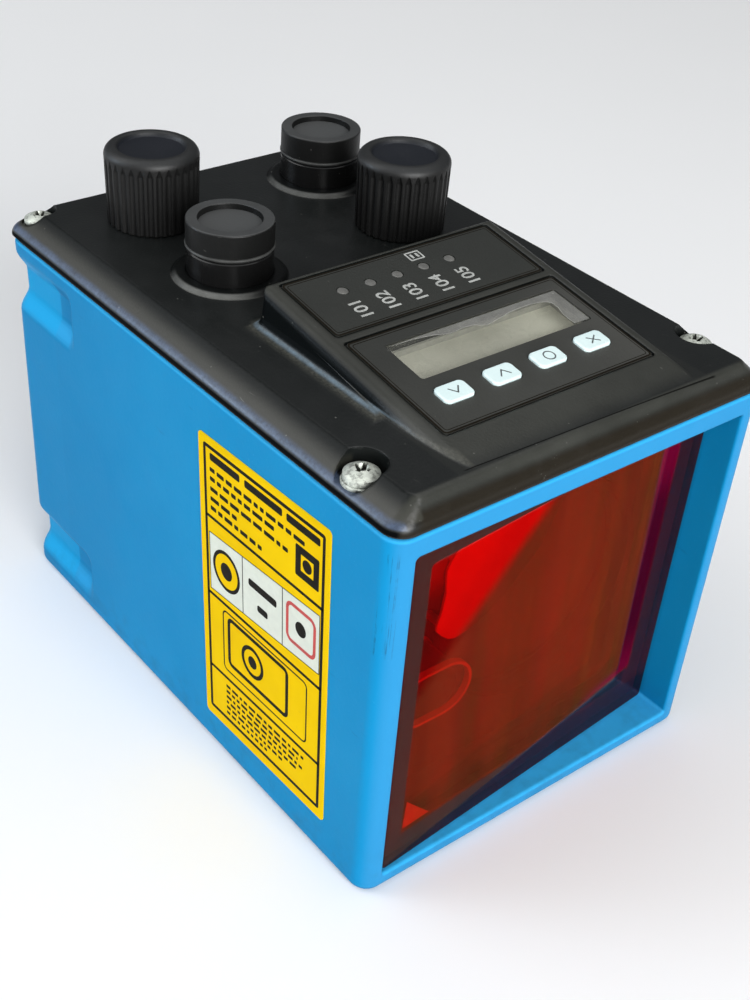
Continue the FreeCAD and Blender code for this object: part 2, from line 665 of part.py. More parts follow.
def pin_set(x, y, z0, z1):
    out = []
    for px, py in PIN_POS:
        out.append(turned([(0, z0), (0.5, z0), (0.5, z1 - 0.4), (0.3, z1), (0, z1)],
                          x + px, y + py))
    return out


def insert(x, y, z0, z1, hole):
    s = turned([(0, z0), (4.55, z0), (4.55, z1 - 0.2), (4.35, z1), (0, z1)], x, y)
    return s.cut([cyl(hole, z0 - 1, z1 + 1, x + px, y + py) for px, py in PIN_POS])


for name, (x, y) in CAPS.items():
    put("cap_" + name, knurled_cap(x, y))
    put("cap_seal_" + name, turned([(3.6, 80.5), (5.85, 80.5), (5.85, 81.2), (3.6, 81.2)], x, y))

for name, (x, y) in PLUGS.items():
    put("plug_" + name, blanking_plug(x, y))
    put("plug_ring_" + name, turned([(5.55, 75.3), (6.35, 75.3), (6.5, 75.45), (6.35, 75.6),
                                     (5.55, 75.6)], x, y))

group("connector_stubs", [stub_shell(x, y) for x, y in CAPS.values()])
group("connector_sockets", [socket_shell(x, y) for x, y in PLUGS.values()])
group("stub_inserts", [insert(x, y, 65.6, 74.0, 0.54) for x, y in CAPS.values()])
group("stub_pins", [p for x, y in CAPS.values() for p in pin_set(x, y, 63.1, 79.2)])
group("socket_inserts", [insert(x, y, 65.6, 71.3, 0.54) for x, y in PLUGS.values()])
group("socket_contacts", [p for x, y in PLUGS.values() for p in pin_set(x, y, 63.1, 70.9)])

nuts = []
for x, y in PLUGS.values():
    hexagon = [(8.5 * math.cos(math.radians(60 * i)), 8.5 * math.sin(math.radians(60 * i)), 66.2)
               for i in range(6)]
    n = polygon(hexagon).extrude(V(0, 0, CEIL_Z - 66.2))
    n = n.cut(cyl(6.35, 60, 70))
    n.translate(V(x, y, 0))
    nuts.append(n)
group("socket_nuts", nuts)

CB_POSTS = [(0.0, 5.0), (0.0, 39.6), (-24.0, 23.2), (24.0, 23.2)]
cb = plate(-26.6, 26.6, 2.0, 44.0, 61.5, 63.1, 1.5)
cb = cb.cut([cyl(1.1, 60, 65, x, y) for x, y in CB_POSTS])
put("connector_board", cb)
group("connector_board_spacers", [cyl(2.3, 63.1, CEIL_Z, x, y).cut(cyl(1.05, 60, 67.6, x, y))
                                  for x, y in CB_POSTS])
group("connector_board_screws", [turned([(0, 60.3), (1.6, 60.3), (1.9, 60.6), (1.9, 61.5),
                                         (1.0, 61.5), (1.0, 67.0), (0, 67.0)], x, y)
                                 for x, y in CB_POSTS])

# ----------------------------------------------------------------------------
# Optics: carrier with receiving cone, lens, laser barrel, detector
# ----------------------------------------------------------------------------
CY0, CY1 = -38.2, -35.2
front = box(-26.8, 26.8, CY0, CY1, 4.2, 60.0)
cone = cone_y(21.0, 11.0, CY1, 3.0, LENS_X, LENS_Z)
rear = box(LENS_X - 13, LENS_X + 13, 3.0, 5.0, LENS_Z - 13, LENS_Z + 13)
collar = cyl_y(7.6, CY1, -22.0, BEAM_X, BEAM_Z)
foot = box(-6.5, 17.5, CY1, -2.0, 7.6, 10.6)
web = box(4.5, 8.5, CY1, -2.0, 10.6, 24.0)
carrier = fuse([front, cone, rear, collar, foot, web])
carrier = carrier.cut([
    cyl_y(19.4, CY0 - 1, CY1 - 0.15, LENS_X, LENS_Z),
    cone_y(18.5, 9.4, CY1 - 0.5, 3.0, LENS_X, LENS_Z),
    cyl_y(4.6, 2.0, 8.0, LENS_X, LENS_Z),
    cyl_y(6.08, CY0 - 1, -20.0, BEAM_X, BEAM_Z)]
    + [cyl(1.35, 0, 14, x, y) for x, y in CARRIER_SCREWS]
    + [cyl(5.3, 0, 10.6, x, y) for x, y in FEET])
put("optics_carrier", carrier)
group("carrier_screws", [pan_screw(x, y, 10.6, 2.2, 1.5, 1.2, 5.8, 15.0 * i)
                         for i, (x, y) in enumerate(CARRIER_SCREWS)])


def dome_lens(x, z, r, y_flat, edge, radius):
    """Plano-convex lens, its curved face towards -Y."""
    sag = radius - math.sqrt(radius ** 2 - r ** 2)
    mid = radius - math.sqrt(radius ** 2 - (r / 2) ** 2)
    yv = y_flat - edge - sag
    e = [Part.LineSegment(V(0, y_flat, 0), V(r, y_flat, 0)).toShape(),
         Part.LineSegment(V(r, y_flat, 0), V(r, y_flat - edge, 0)).toShape(),
         Part.Arc(V(r, y_flat - edge, 0), V(r / 2, yv + mid, 0), V(0, yv, 0)).toShape(),
         Part.LineSegment(V(0, yv, 0), V(0, y_flat, 0)).toShape()]
    s = Part.Face(Part.Wire(e)).revolve(V(0, 0, 0), V(0, 1, 0), 360)
    s.translate(V(x, 0, z))
    return s


put("receiver_lens", dome_lens(LENS_X, LENS_Z, 19.3, CY1 - 0.15, 2.7, 45.0))
put("lens_ring", cyl_y(20.4, CY0 - 1.3, CY0, LENS_X, LENS_Z).cut(
    cyl_y(19.05, CY0 - 3, CY0 + 1, LENS_X, LENS_Z)))

barrel = fuse([cyl_y(5.6, -44.4, -38.0, BEAM_X, BEAM_Z), cyl_y(6.0, -38.0, -16.0, BEAM_X, BEAM_Z)])
barrel = barrel.cut([cyl_y(4.9, -46, -39.0, BEAM_X, BEAM_Z),
                     cyl_y(4.2, -40, -14, BEAM_X, BEAM_Z),
                     cyl_y(4.75, -18.6, -14, BEAM_X, BEAM_Z)])
barrel = rounded(barrel, 0.35, lambda e: abs(e.BoundBox.YMax + 44.4) < 1e-6)
put("laser_barrel", barrel)
# light seal between the barrel and the window, a flat ring with round ends
SEAL_Z = BEAM_Z + 0.55
lip = upright(-26.6, -12.4, SEAL_Z - 4.9, SEAL_Z + 4.9, -45.4, -44.4, 4.88)
lip = lip.cut(upright(-26.1, -12.9, SEAL_Z - 4.4, SEAL_Z + 4.4, -47.0, -43.0, 4.38))
put("beam_seal", lip)
put("collimator_lens", dome_lens(BEAM_X, BEAM_Z, 4.8, -39.0, 1.6, 7.0))
diode = fuse([cyl_y(4.65, -18.6, -16.9, BEAM_X, BEAM_Z), cyl_y(2.6, -21.6, -18.6, BEAM_X, BEAM_Z),
              cyl_y(0.3, -16.9, -15.8, BEAM_X - 1.3, BEAM_Z),
              cyl_y(0.3, -16.9, -15.8, BEAM_X + 1.3, BEAM_Z),
              cyl_y(0.3, -16.9, -15.8, BEAM_X, BEAM_Z - 1.3)])
put("laser_diode", diode)
put("laser_board", upright(-28.2, -13.0, 21.5, 38.5, -15.8, -14.2, 1.0))
det = fuse([cyl_y(4.4, 4.4, 6.0, LENS_X, LENS_Z), cyl_y(3.9, 1.4, 4.4, LENS_X, LENS_Z)])
put("detector", det)
put("detector_board", upright(LENS_X - 13.5, LENS_X + 13.5, 19.0, 46.0, 6.0, 7.6, 1.0))

# ----------------------------------------------------------------------------
# Main board and flat cables
# ----------------------------------------------------------------------------
mb = plate(-27.0, 27.0, 9.0, 44.0, 14.0, 15.6, 1.5)
mb = mb.cut([cyl(1.35, 10, 20, x, y) for x, y in BOARD_POSTS])
put("main_board", mb)
group("main_board_posts", [cyl(3.0, WALL, 14.0, x, y).fuse(cyl(1.25, 2.0, WALL, x, y)).removeSplitter()
                           .cut(cyl(1.2, 8.0, 15.0, x, y)) for x, y in BOARD_POSTS])
group("main_board_screws", [pan_screw(x, y, 15.6, 2.2, 1.5, 1.15, 6.5, 20.0 * i)
                            for i, (x, y) in enumerate(BOARD_POSTS)])
chips = [plate(6.0, 19.0, 19.0, 32.0, 15.6, 17.0, 0.3), plate(6.0, 15.0, 12.0, 17.0, 15.6, 16.8, 0.3),
         plate(20.6, 26.0, 20.0, 30.0, 15.6, 18.4, 0.4), cyl(2.6, 15.6, 22.0, 23.2, 35.0),
         cyl(2.6, 15.6, 22.0, -23.5, 33.5), plate(8.0, 18.0, 34.5, 41.5, 15.6, 18.2, 0.4)]
group("main_board_chips", chips)
can = plate(-19.5, 1.5, 15.6, 31.6, 15.6, 20.0, 1.0)
can = rounded(can, 0.5, lambda e: abs(e.BoundBox.ZMin - 20.0) < 1e-6)
can = can.cut(plate(-19.2, 1.2, 15.9, 31.3, 14.0, 19.7, 0.8))
put("shield_can", can)

CAB_X0, CAB_X1 = -17.0, -8.4
header_top = on_panel(box(CAB_X0 - 0.8, CAB_X1 + 0.4, 34.6, 38.6, -9.4, -7.2))
header_low = box(CAB_X0 - 0.8, CAB_X1 + 0.4, 10.6, 14.4, 15.6, 19.0)
header_c = box(-5.0, 5.0, 33.0, 36.0, 58.3, 61.5)
header_d = box(-5.0, 5.0, 33.0, 36.0, 15.6, 18.8)
group("cable_headers", [header_top, header_low, header_c, header_d])


def strip(path, x0, x1, t):
    """Flat cable: a bent centre line in Y and Z, given thickness and width."""
    left, right = [], []
    for i, p in enumerate(path):
        a = path[max(i - 1, 0)]
        b = path[min(i + 1, len(path) - 1)]
        dy, dz = b[0] - a[0], b[1] - a[1]
        n = math.hypot(dy, dz)
        ny, nz = -dz / n, dy / n
        left.append((x0, p[0] + ny * t / 2, p[1] + nz * t / 2))
        right.append((x0, p[0] - ny * t / 2, p[1] - nz * t / 2))
    return polygon(left + right[::-1]).extrude(V(x1 - x0, 0, 0))


# display board to main board: down, then forward under the detector board
ytop = PANEL_Y + 36.6 * math.cos(math.radians(PANEL_TILT)) + 9.4 * math.sin(math.radians(PANEL_TILT))
ztop = PANEL_Z + 36.6 * math.sin(math.radians(PANEL_TILT)) - 9.4 * math.cos(math.radians(PANEL_TILT))
path = [(ytop, ztop - 0.12), (ytop + 0.05, 62.0)]
for i in range(1, 13):
    t = i / 12.0
    path.append((ytop + 0.05 + 7.0 * (3 * t * t - 2 * t ** 3), 62.0 - 34.0 * t))
cy, cz, cr = path[-1][0] + 4.0, 22.0, 4.0
path.append((path[-1][0], 24.5))
for i in range(0, 9):
    a = math.radians(180 + 90.0 * i / 8)
    path.append((cy + cr * math.cos(a), cz - 0.5 + cr * math.sin(a)))
path.append((10.55, cz - 0.5 - cr))
put("flat_cable_display", strip(path, CAB_X0, CAB_X1, 0.3))
path = [(34.5, 58.28), (34.5, 57.0)]
for i in range(1, 24):
    t = i / 24.0
    path.append((34.5 + 0.9 * math.sin(2 * math.pi * t) * math.sin(math.pi * t), 57.0 - 36.9 * t))
path += [(34.5, 20.1), (34.5, 18.82)]
put("flat_cable_ports", strip(path, -4.4, 4.4, 0.3))

for name, count, shape in BUILT:
    b = shape.BoundBox
    print("%-28s %2d  x %7.2f %7.2f  y %7.2f %7.2f  z %7.2f %7.2f  vol %9.1f" % (
        name, count, b.XMin, b.XMax, b.YMin, b.YMax, b.ZMin, b.ZMax, shape.Volume))
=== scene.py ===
import math
import random

import bmesh
import bpy
from mathutils import Matrix, Vector


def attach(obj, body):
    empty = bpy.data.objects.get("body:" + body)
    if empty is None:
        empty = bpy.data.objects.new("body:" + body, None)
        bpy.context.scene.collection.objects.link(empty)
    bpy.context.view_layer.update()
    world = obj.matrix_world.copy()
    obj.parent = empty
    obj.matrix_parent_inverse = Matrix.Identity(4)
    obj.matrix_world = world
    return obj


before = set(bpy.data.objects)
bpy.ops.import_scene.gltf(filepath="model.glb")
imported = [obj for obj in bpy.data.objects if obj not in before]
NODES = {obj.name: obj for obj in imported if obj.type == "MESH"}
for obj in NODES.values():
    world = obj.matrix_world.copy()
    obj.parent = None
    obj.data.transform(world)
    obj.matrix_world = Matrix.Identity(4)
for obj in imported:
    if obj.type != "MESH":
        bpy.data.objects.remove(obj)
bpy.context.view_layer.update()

ROOT = "sensor"
MM = 0.001

# ----------------------------------------------------------------------------
# Camera: the photograph's viewpoint, 750 x 1000 frame
# ----------------------------------------------------------------------------
AZ, EL, ROLL = math.radians(-39.8), math.radians(38.08), math.radians(3.95)
DIST = 249.29
TARGET = Vector((-2.05, -1.46, 16.14))
F_PX, CX, CY = 1426.71, 341.01, 569.2

back = Vector((math.sin(AZ) * math.cos(EL), -math.cos(AZ) * math.cos(EL), math.sin(EL)))
right = Vector((math.cos(AZ), math.sin(AZ), 0.0))
up = back.cross(right)
r2 = right * math.cos(ROLL) + up * math.sin(ROLL)
u2 = -right * math.sin(ROLL) + up * math.cos(ROLL)
pos = (TARGET + back * DIST) * MM
cam = bpy.data.cameras.new("Camera")
cam_ob = bpy.data.objects.new("Camera", cam)
bpy.context.scene.collection.objects.link(cam_ob)
cam_ob.matrix_world = Matrix((
    (r2.x, u2.x, back.x, pos.x),
    (r2.y, u2.y, back.y, pos.y),
    (r2.z, u2.z, back.z, pos.z),
    (0, 0, 0, 1)))
cam.sensor_fit = "VERTICAL"
cam.sensor_height = 36.0
cam.sensor_width = 27.0
cam.lens = F_PX / 1000.0 * 36.0
cam.shift_x = (375.0 - CX) / 1000.0
cam.shift_y = (CY - 500.0) / 1000.0
cam.clip_start = 0.01
cam.clip_end = 20.0
bpy.context.scene.camera = cam_ob


# ----------------------------------------------------------------------------
# Material kit
# ----------------------------------------------------------------------------
class Mat:
    """A node material around one Principled shader, in object coordinates (metres)."""

    def __init__(self, name, **sockets):
        self.mat = bpy.data.materials.new(name)
        self.mat.use_nodes = True
        self.nt = self.mat.node_tree
        self.nt.nodes.clear()
        self.out = self.new("ShaderNodeOutputMaterial")
        self.p = self.new("ShaderNodeBsdfPrincipled")
        self.link(self.p.outputs[0], self.out.inputs["Surface"])
        self.tc = self.new("ShaderNodeTexCoord")
        self.set(**sockets)

    def new(self, kind):
        return self.nt.nodes.new(kind)

    def link(self, a, b):
        self.nt.links.new(a, b)

    def set(self, **sockets):
        names = {"color": "Base Color", "rough": "Roughness", "metal": "Metallic",
                 "spec": "Specular IOR Level", "ior": "IOR", "coat": "Coat Weight",
                 "coat_rough": "Coat Roughness", "trans": "Transmission Weight",
                 "alpha": "Alpha", "sheen": "Sheen Weight"}
        for k, v in sockets.items():
            s = self.p.inputs[names[k]]
            if k == "color":
                v = (v[0], v[1], v[2], 1.0)
            s.default_value = v

    def coords(self, stretch=None, offset=(0, 0, 0), turn=(0, 0, 0)):
        if stretch is None and offset == (0, 0, 0) and turn == (0, 0, 0):
            return self.tc.outputs["Object"]
        m = self.new("ShaderNodeMapping")
        m.inputs["Scale"].default_value = stretch or (1, 1, 1)
        m.inputs["Location"].default_value = offset
        m.inputs["Rotation"].default_value = turn
        self.link(self.tc.outputs["Object"], m.inputs["Vector"])
        return m.outputs[0]

    def noise(self, scale, detail=3.0, rough=0.55, stretch=None, offset=(0, 0, 0),
              turn=(0, 0, 0), distort=0.0):
        n = self.new("ShaderNodeTexNoise")
        n.inputs["Scale"].default_value = scale
        n.inputs["Detail"].default_value = detail
        n.inputs["Roughness"].default_value = rough
        n.inputs["Distortion"].default_value = distort
        self.link(self.coords(stretch, offset, turn), n.inputs["Vector"])
        return n.outputs["Fac"]

    def voronoi(self, scale, feature="F1", stretch=None, offset=(0, 0, 0), turn=(0, 0, 0),
                out="Distance"):
        n = self.new("ShaderNodeTexVoronoi")
        n.feature = feature
        n.inputs["Scale"].default_value = scale
        self.link(self.coords(stretch, offset, turn), n.inputs["Vector"])
        return n.outputs[out]

    def ramp(self, fac, stops, mode="LINEAR"):
        r = self.new("ShaderNodeValToRGB")
        r.color_ramp.interpolation = mode
        els = r.color_ramp.elements
        while len(els) < len(stops):
            els.new(0.5)
        for e, (pos_, col) in zip(els, stops):
            e.position = pos_
            if not isinstance(col, (tuple, list)):
                col = (col, col, col)
            e.color = (col[0], col[1], col[2], 1.0)
        self.link(fac, r.inputs["Fac"])
        return r.outputs["Color"]

    def range(self, fac, a0, a1, b0, b1, smooth=False):
        r = self.new("ShaderNodeMapRange")
        r.interpolation_type = "SMOOTHSTEP" if smooth else "LINEAR"
        r.clamp = True
        for n, v in zip(("From Min", "From Max", "To Min", "To Max"), (a0, a1, b0, b1)):
            r.inputs[n].default_value = v
        self.link(fac, r.inputs["Value"])
        return r.outputs["Result"]

    def math(self, op, a, b=None):
        m = self.new("ShaderNodeMath")
        m.operation = op
        for i, v in enumerate((a, b)):
            if v is None:
                continue
            if isinstance(v, (int, float)):
                m.inputs[i].default_value = v
            else:
                self.link(v, m.inputs[i])
        return m.outputs[0]

    def mix(self, fac, a, b, mode="MIX"):
        m = self.new("ShaderNodeMix")
        m.data_type = "RGBA"
        m.blend_type = mode
        m.clamp_factor = True
        sock = {s.identifier: s for s in m.inputs}
        for key, v in (("Factor_Float", fac), ("A_Color", a), ("B_Color", b)):
            s = sock[key]
            if isinstance(v, (int, float)):
                s.default_value = v
            elif isinstance(v, (tuple, list)):
                s.default_value = (v[0], v[1], v[2], 1.0)
            else:
                self.link(v, s)
        return [o for o in m.outputs if o.identifier == "Result_Color"][0]

    def axis(self, which):
        s = self.new("ShaderNodeSeparateXYZ")
        self.link(self.tc.outputs["Object"], s.inputs[0])
        return s.outputs[which]

    def color(self, sock):
        self.link(sock, self.p.inputs["Base Color"])

    def rough(self, sock):
        self.link(sock, self.p.inputs["Roughness"])

    def bump(self, height, strength=0.2, distance=0.0002, base=None):
        b = self.new("ShaderNodeBump")
        b.inputs["Strength"].default_value = strength
        b.inputs["Distance"].default_value = distance
        self.link(height, b.inputs["Height"])
        if base is not None:
            self.link(base, b.inputs["Normal"])
        self.link(b.outputs[0], self.p.inputs["Normal"])
        return b.outputs[0]


def soft_edge(m, radius):
    """Shading normal that rounds sharp edges."""
    b = m.new("ShaderNodeBevel")
    b.samples = 6
    b.inputs["Radius"].default_value = radius
    return b.outputs[0]


def from_axis(m, cx, cy):
    """Distance to an upright axis."""
    dx = m.math("SUBTRACT", m.axis("X"), cx)
    dy = m.math("SUBTRACT", m.axis("Y"), cy)
    return m.math("SQRT", m.math("ADD", m.math("MULTIPLY", dx, dx), m.math("MULTIPLY", dy, dy)))


def facing_up(m, lo=0.6, hi=0.9, normal=None):
    """0 to 1 as the upward part of the normal goes from lo to hi."""
    s = m.new("ShaderNodeSeparateXYZ")
    m.link(normal or m.tc.outputs["Normal"], s.inputs[0])
    return m.range(s.outputs["Z"], lo, hi, 0.0, 1.0, True)


def upright_sheen(m, side, top):
    """Less gloss on upright faces than on the faces turned upwards."""
    m.link(m.range(facing_up(m, 0.05, 0.5), 0.0, 1.0, side, top), m.p.inputs["Specular IOR Level"])


def box_mask(m, lo, hi, soft):
    """1 inside a box in object coordinates (metres), fading over soft."""
    out = None
    for i, ax in enumerate("XYZ"):
        s = m.axis(ax)
        for edge, sign in ((lo[i], 1), (hi[i], -1)):
            if edge is None:
                continue
            f = m.range(s, edge - soft * sign, edge + soft * sign, 0.0, 1.0, True) if sign > 0 \
                else m.range(s, edge - soft, edge + soft, 1.0, 0.0, True)
            out = f if out is None else m.math("MULTIPLY", out, f)
    return out


# ----------------------------------------------------------------------------
# Materials
# ----------------------------------------------------------------------------
def make_blue():
    m = Mat("blue_coat", spec=0.04)
    big = m.noise(28.0, 3.0, 0.6)
    base = m.ramp(big, [(0.3, (0.003, 0.222, 0.482)), (0.7, (0.006, 0.256, 0.526))])
    fine = m.noise(2600.0, 2.0)
    base = m.mix(m.range(fine, 0.66, 0.78, 0.0, 0.25), base, (0.05, 0.38, 0.68))
    # fine dark scratches and handling marks, strongest by the front left edge
    streak = m.noise(1.0, 4.0, 0.6, stretch=(2600, 2600, 46))
    thin = m.math("MULTIPLY", m.range(streak, 0.560, 0.595, 0.0, 1.0), m.range(m.noise(520.0, 3.0, 0.6), 0.42, 0.56, 0.15, 1.0))
    spot = box_mask(m, (None, -0.0505, 0.047), (-0.0329, -0.0483, 0.0640), 0.0004)
    dark = m.math("MULTIPLY", thin, spot)
    rub = m.noise(1.0, 3.0, 0.6, stretch=(900, 120, 900), offset=(0.3, 0.2, 0.7))
    thin2 = m.range(rub, 0.70, 0.74, 0.0, 0.35)
    base = m.mix(m.math("MULTIPLY", dark, 0.70), base, (0.006, 0.02, 0.035))
    base = m.mix(thin2, base, (0.006, 0.16, 0.36))
    # darker towards the rear; painted light: paler on faces turned to the front and upwards; painted shade: deeper on
    # faces turned down
    base = m.mix(m.range(m.axis("Y"), 0.004, 0.044, 0.0, 0.65, True), base, (0.001, 0.180, 0.405))
    front = m.new("ShaderNodeSeparateXYZ")
    m.link(m.tc.outputs["Normal"], front.inputs[0])
    base = m.mix(m.range(front.outputs["Y"], -0.9, -0.4, 0.55, 0.0, True), base, (0.040, 0.235, 0.480))
    wide = soft_edge(m, 0.0006)
    base = m.mix(facing_up(m, 0.10, 0.60, wide), base, (0.034, 0.375, 0.735))
    base = m.mix(facing_up(m, -0.12, -0.50, wide), base, (0.003, 0.175, 0.380))
    # painted light: the floors of the corner hollows are lightened to look as pale as the side
    base = m.mix(m.math("MULTIPLY", box_mask(m, (-0.0345, 0.0360, None), (0.0345, 0.0500, 0.0655), 0.0003), 0.55),
                 base, (0.003, 0.370, 0.720))
    # a little grime low down on the box
    low = m.range(m.axis("Z"), 0.0, 0.012, 1.0, 0.0, True)
    grime = m.math("MULTIPLY", low, m.range(m.noise(300.0, 4.0), 0.45, 0.8, 0.0, 0.35))
    base = m.mix(grime, base, (0.02, 0.08, 0.13))
    m.color(base)
    m.rough(m.range(m.noise(160.0, 4.0), 0.2, 0.8, 0.34, 0.48))
    m.bump(m.noise(1100.0, 3.0, 0.5), 0.10, 0.0003, soft_edge(m, 0.0004))
    return m.mat


def dust_layer(m, base, dust):
    """Dust specks and short lint over a base colour."""
    cell = m.voronoi(620.0, offset=(0.013, 0.21, 0.4))
    pick = m.noise(240.0, 2.0, 0.5, offset=(1.3, 0.4, 2.2))
    speck = m.math("MULTIPLY", m.range(cell, 0.05, 0.10, 1.0, 0.0), m.range(pick, 0.58, 0.66, 0.0, 0.55))
    lint = m.noise(1.0, 2.0, 0.4, stretch=(1500, 190, 1500), turn=(0.3, 0.2, 0.9), distort=1.4)
    lint = m.math("MULTIPLY", m.range(lint, 0.735, 0.76, 0.0, 0.30),
                  m.range(m.noise(90.0, 2.0, offset=(4, 2, 1)), 0.5, 0.62, 0.0, 1.0))
    dirt = m.math("MULTIPLY", m.math("MAXIMUM", speck, lint), dust)
    return m.mix(dirt, base, (0.22, 0.22, 0.20))


def satin(m, rough, grain, soft=0.0):
    """Rubbed satin gloss with a fine grain."""
    wear = m.noise(1.0, 4.0, 0.6, stretch=(420, 60, 420), turn=(0, 0, 0.5))
    m.rough(m.math("ADD", m.range(m.noise(130.0, 4.0), 0.25, 0.75, rough - 0.06, rough + 0.07),
                   m.range(wear, 0.55, 0.8, 0.0, 0.10)))
    m.bump(m.noise(2300.0, 2.0, 0.5), 0.16 * grain, 0.0002, soft_edge(m, soft) if soft else None)


def black_skin(name, tone, rough, dust=1.0, grain=1.0, tint=(1.0, 1.0, 1.0), soft=0.0):
    """Satin black with fine grain, dust specks, lint and rubbed streaks."""
    m = Mat(name, spec=0.5)
    lo = tuple(tone * 0.8 * v for v in tint)
    hi = tuple(tone * 1.25 * v for v in tint)
    m.color(dust_layer(m, m.ramp(m.noise(60.0, 4.0, 0.6), [(0.3, lo), (0.72, hi)]), dust))
    satin(m, rough, grain, soft)
    upright_sheen(m, 0.16, 0.5)
    return m.mat


def make_film():
    """Textured film with painted reflection: a little paler towards the front and at its right end."""
    m = Mat("overlay_film", spec=0.5)
    base = m.ramp(m.noise(60.0, 4.0, 0.6), [(0.3, (0.0155, 0.0172, 0.0146)), (0.72, (0.0215, 0.0236, 0.0200))])
    front = m.ramp(m.noise(60.0, 4.0, 0.6), [(0.3, (0.028, 0.0288, 0.0252)), (0.72, (0.039, 0.0400, 0.0350))])
    # painted reflection: paler towards the front
    base = m.mix(m.range(m.axis("Y"), -0.040, -0.010, 1.0, 0.0, True), base, front)
    # painted reflection: paler at the right end
    right_reflection = m.math("MULTIPLY", m.range(m.axis("X"), 0.004, 0.021, 0.0, 1.0, True),
                       m.range(m.axis("Y"), -0.026, -0.016, 1.0, 0.0, True))
    base = m.mix(right_reflection, base, (0.050, 0.050, 0.0445))
    m.color(dust_layer(m, base, 0.35))
    satin(m, 0.52, 1.6)
    return m.mat


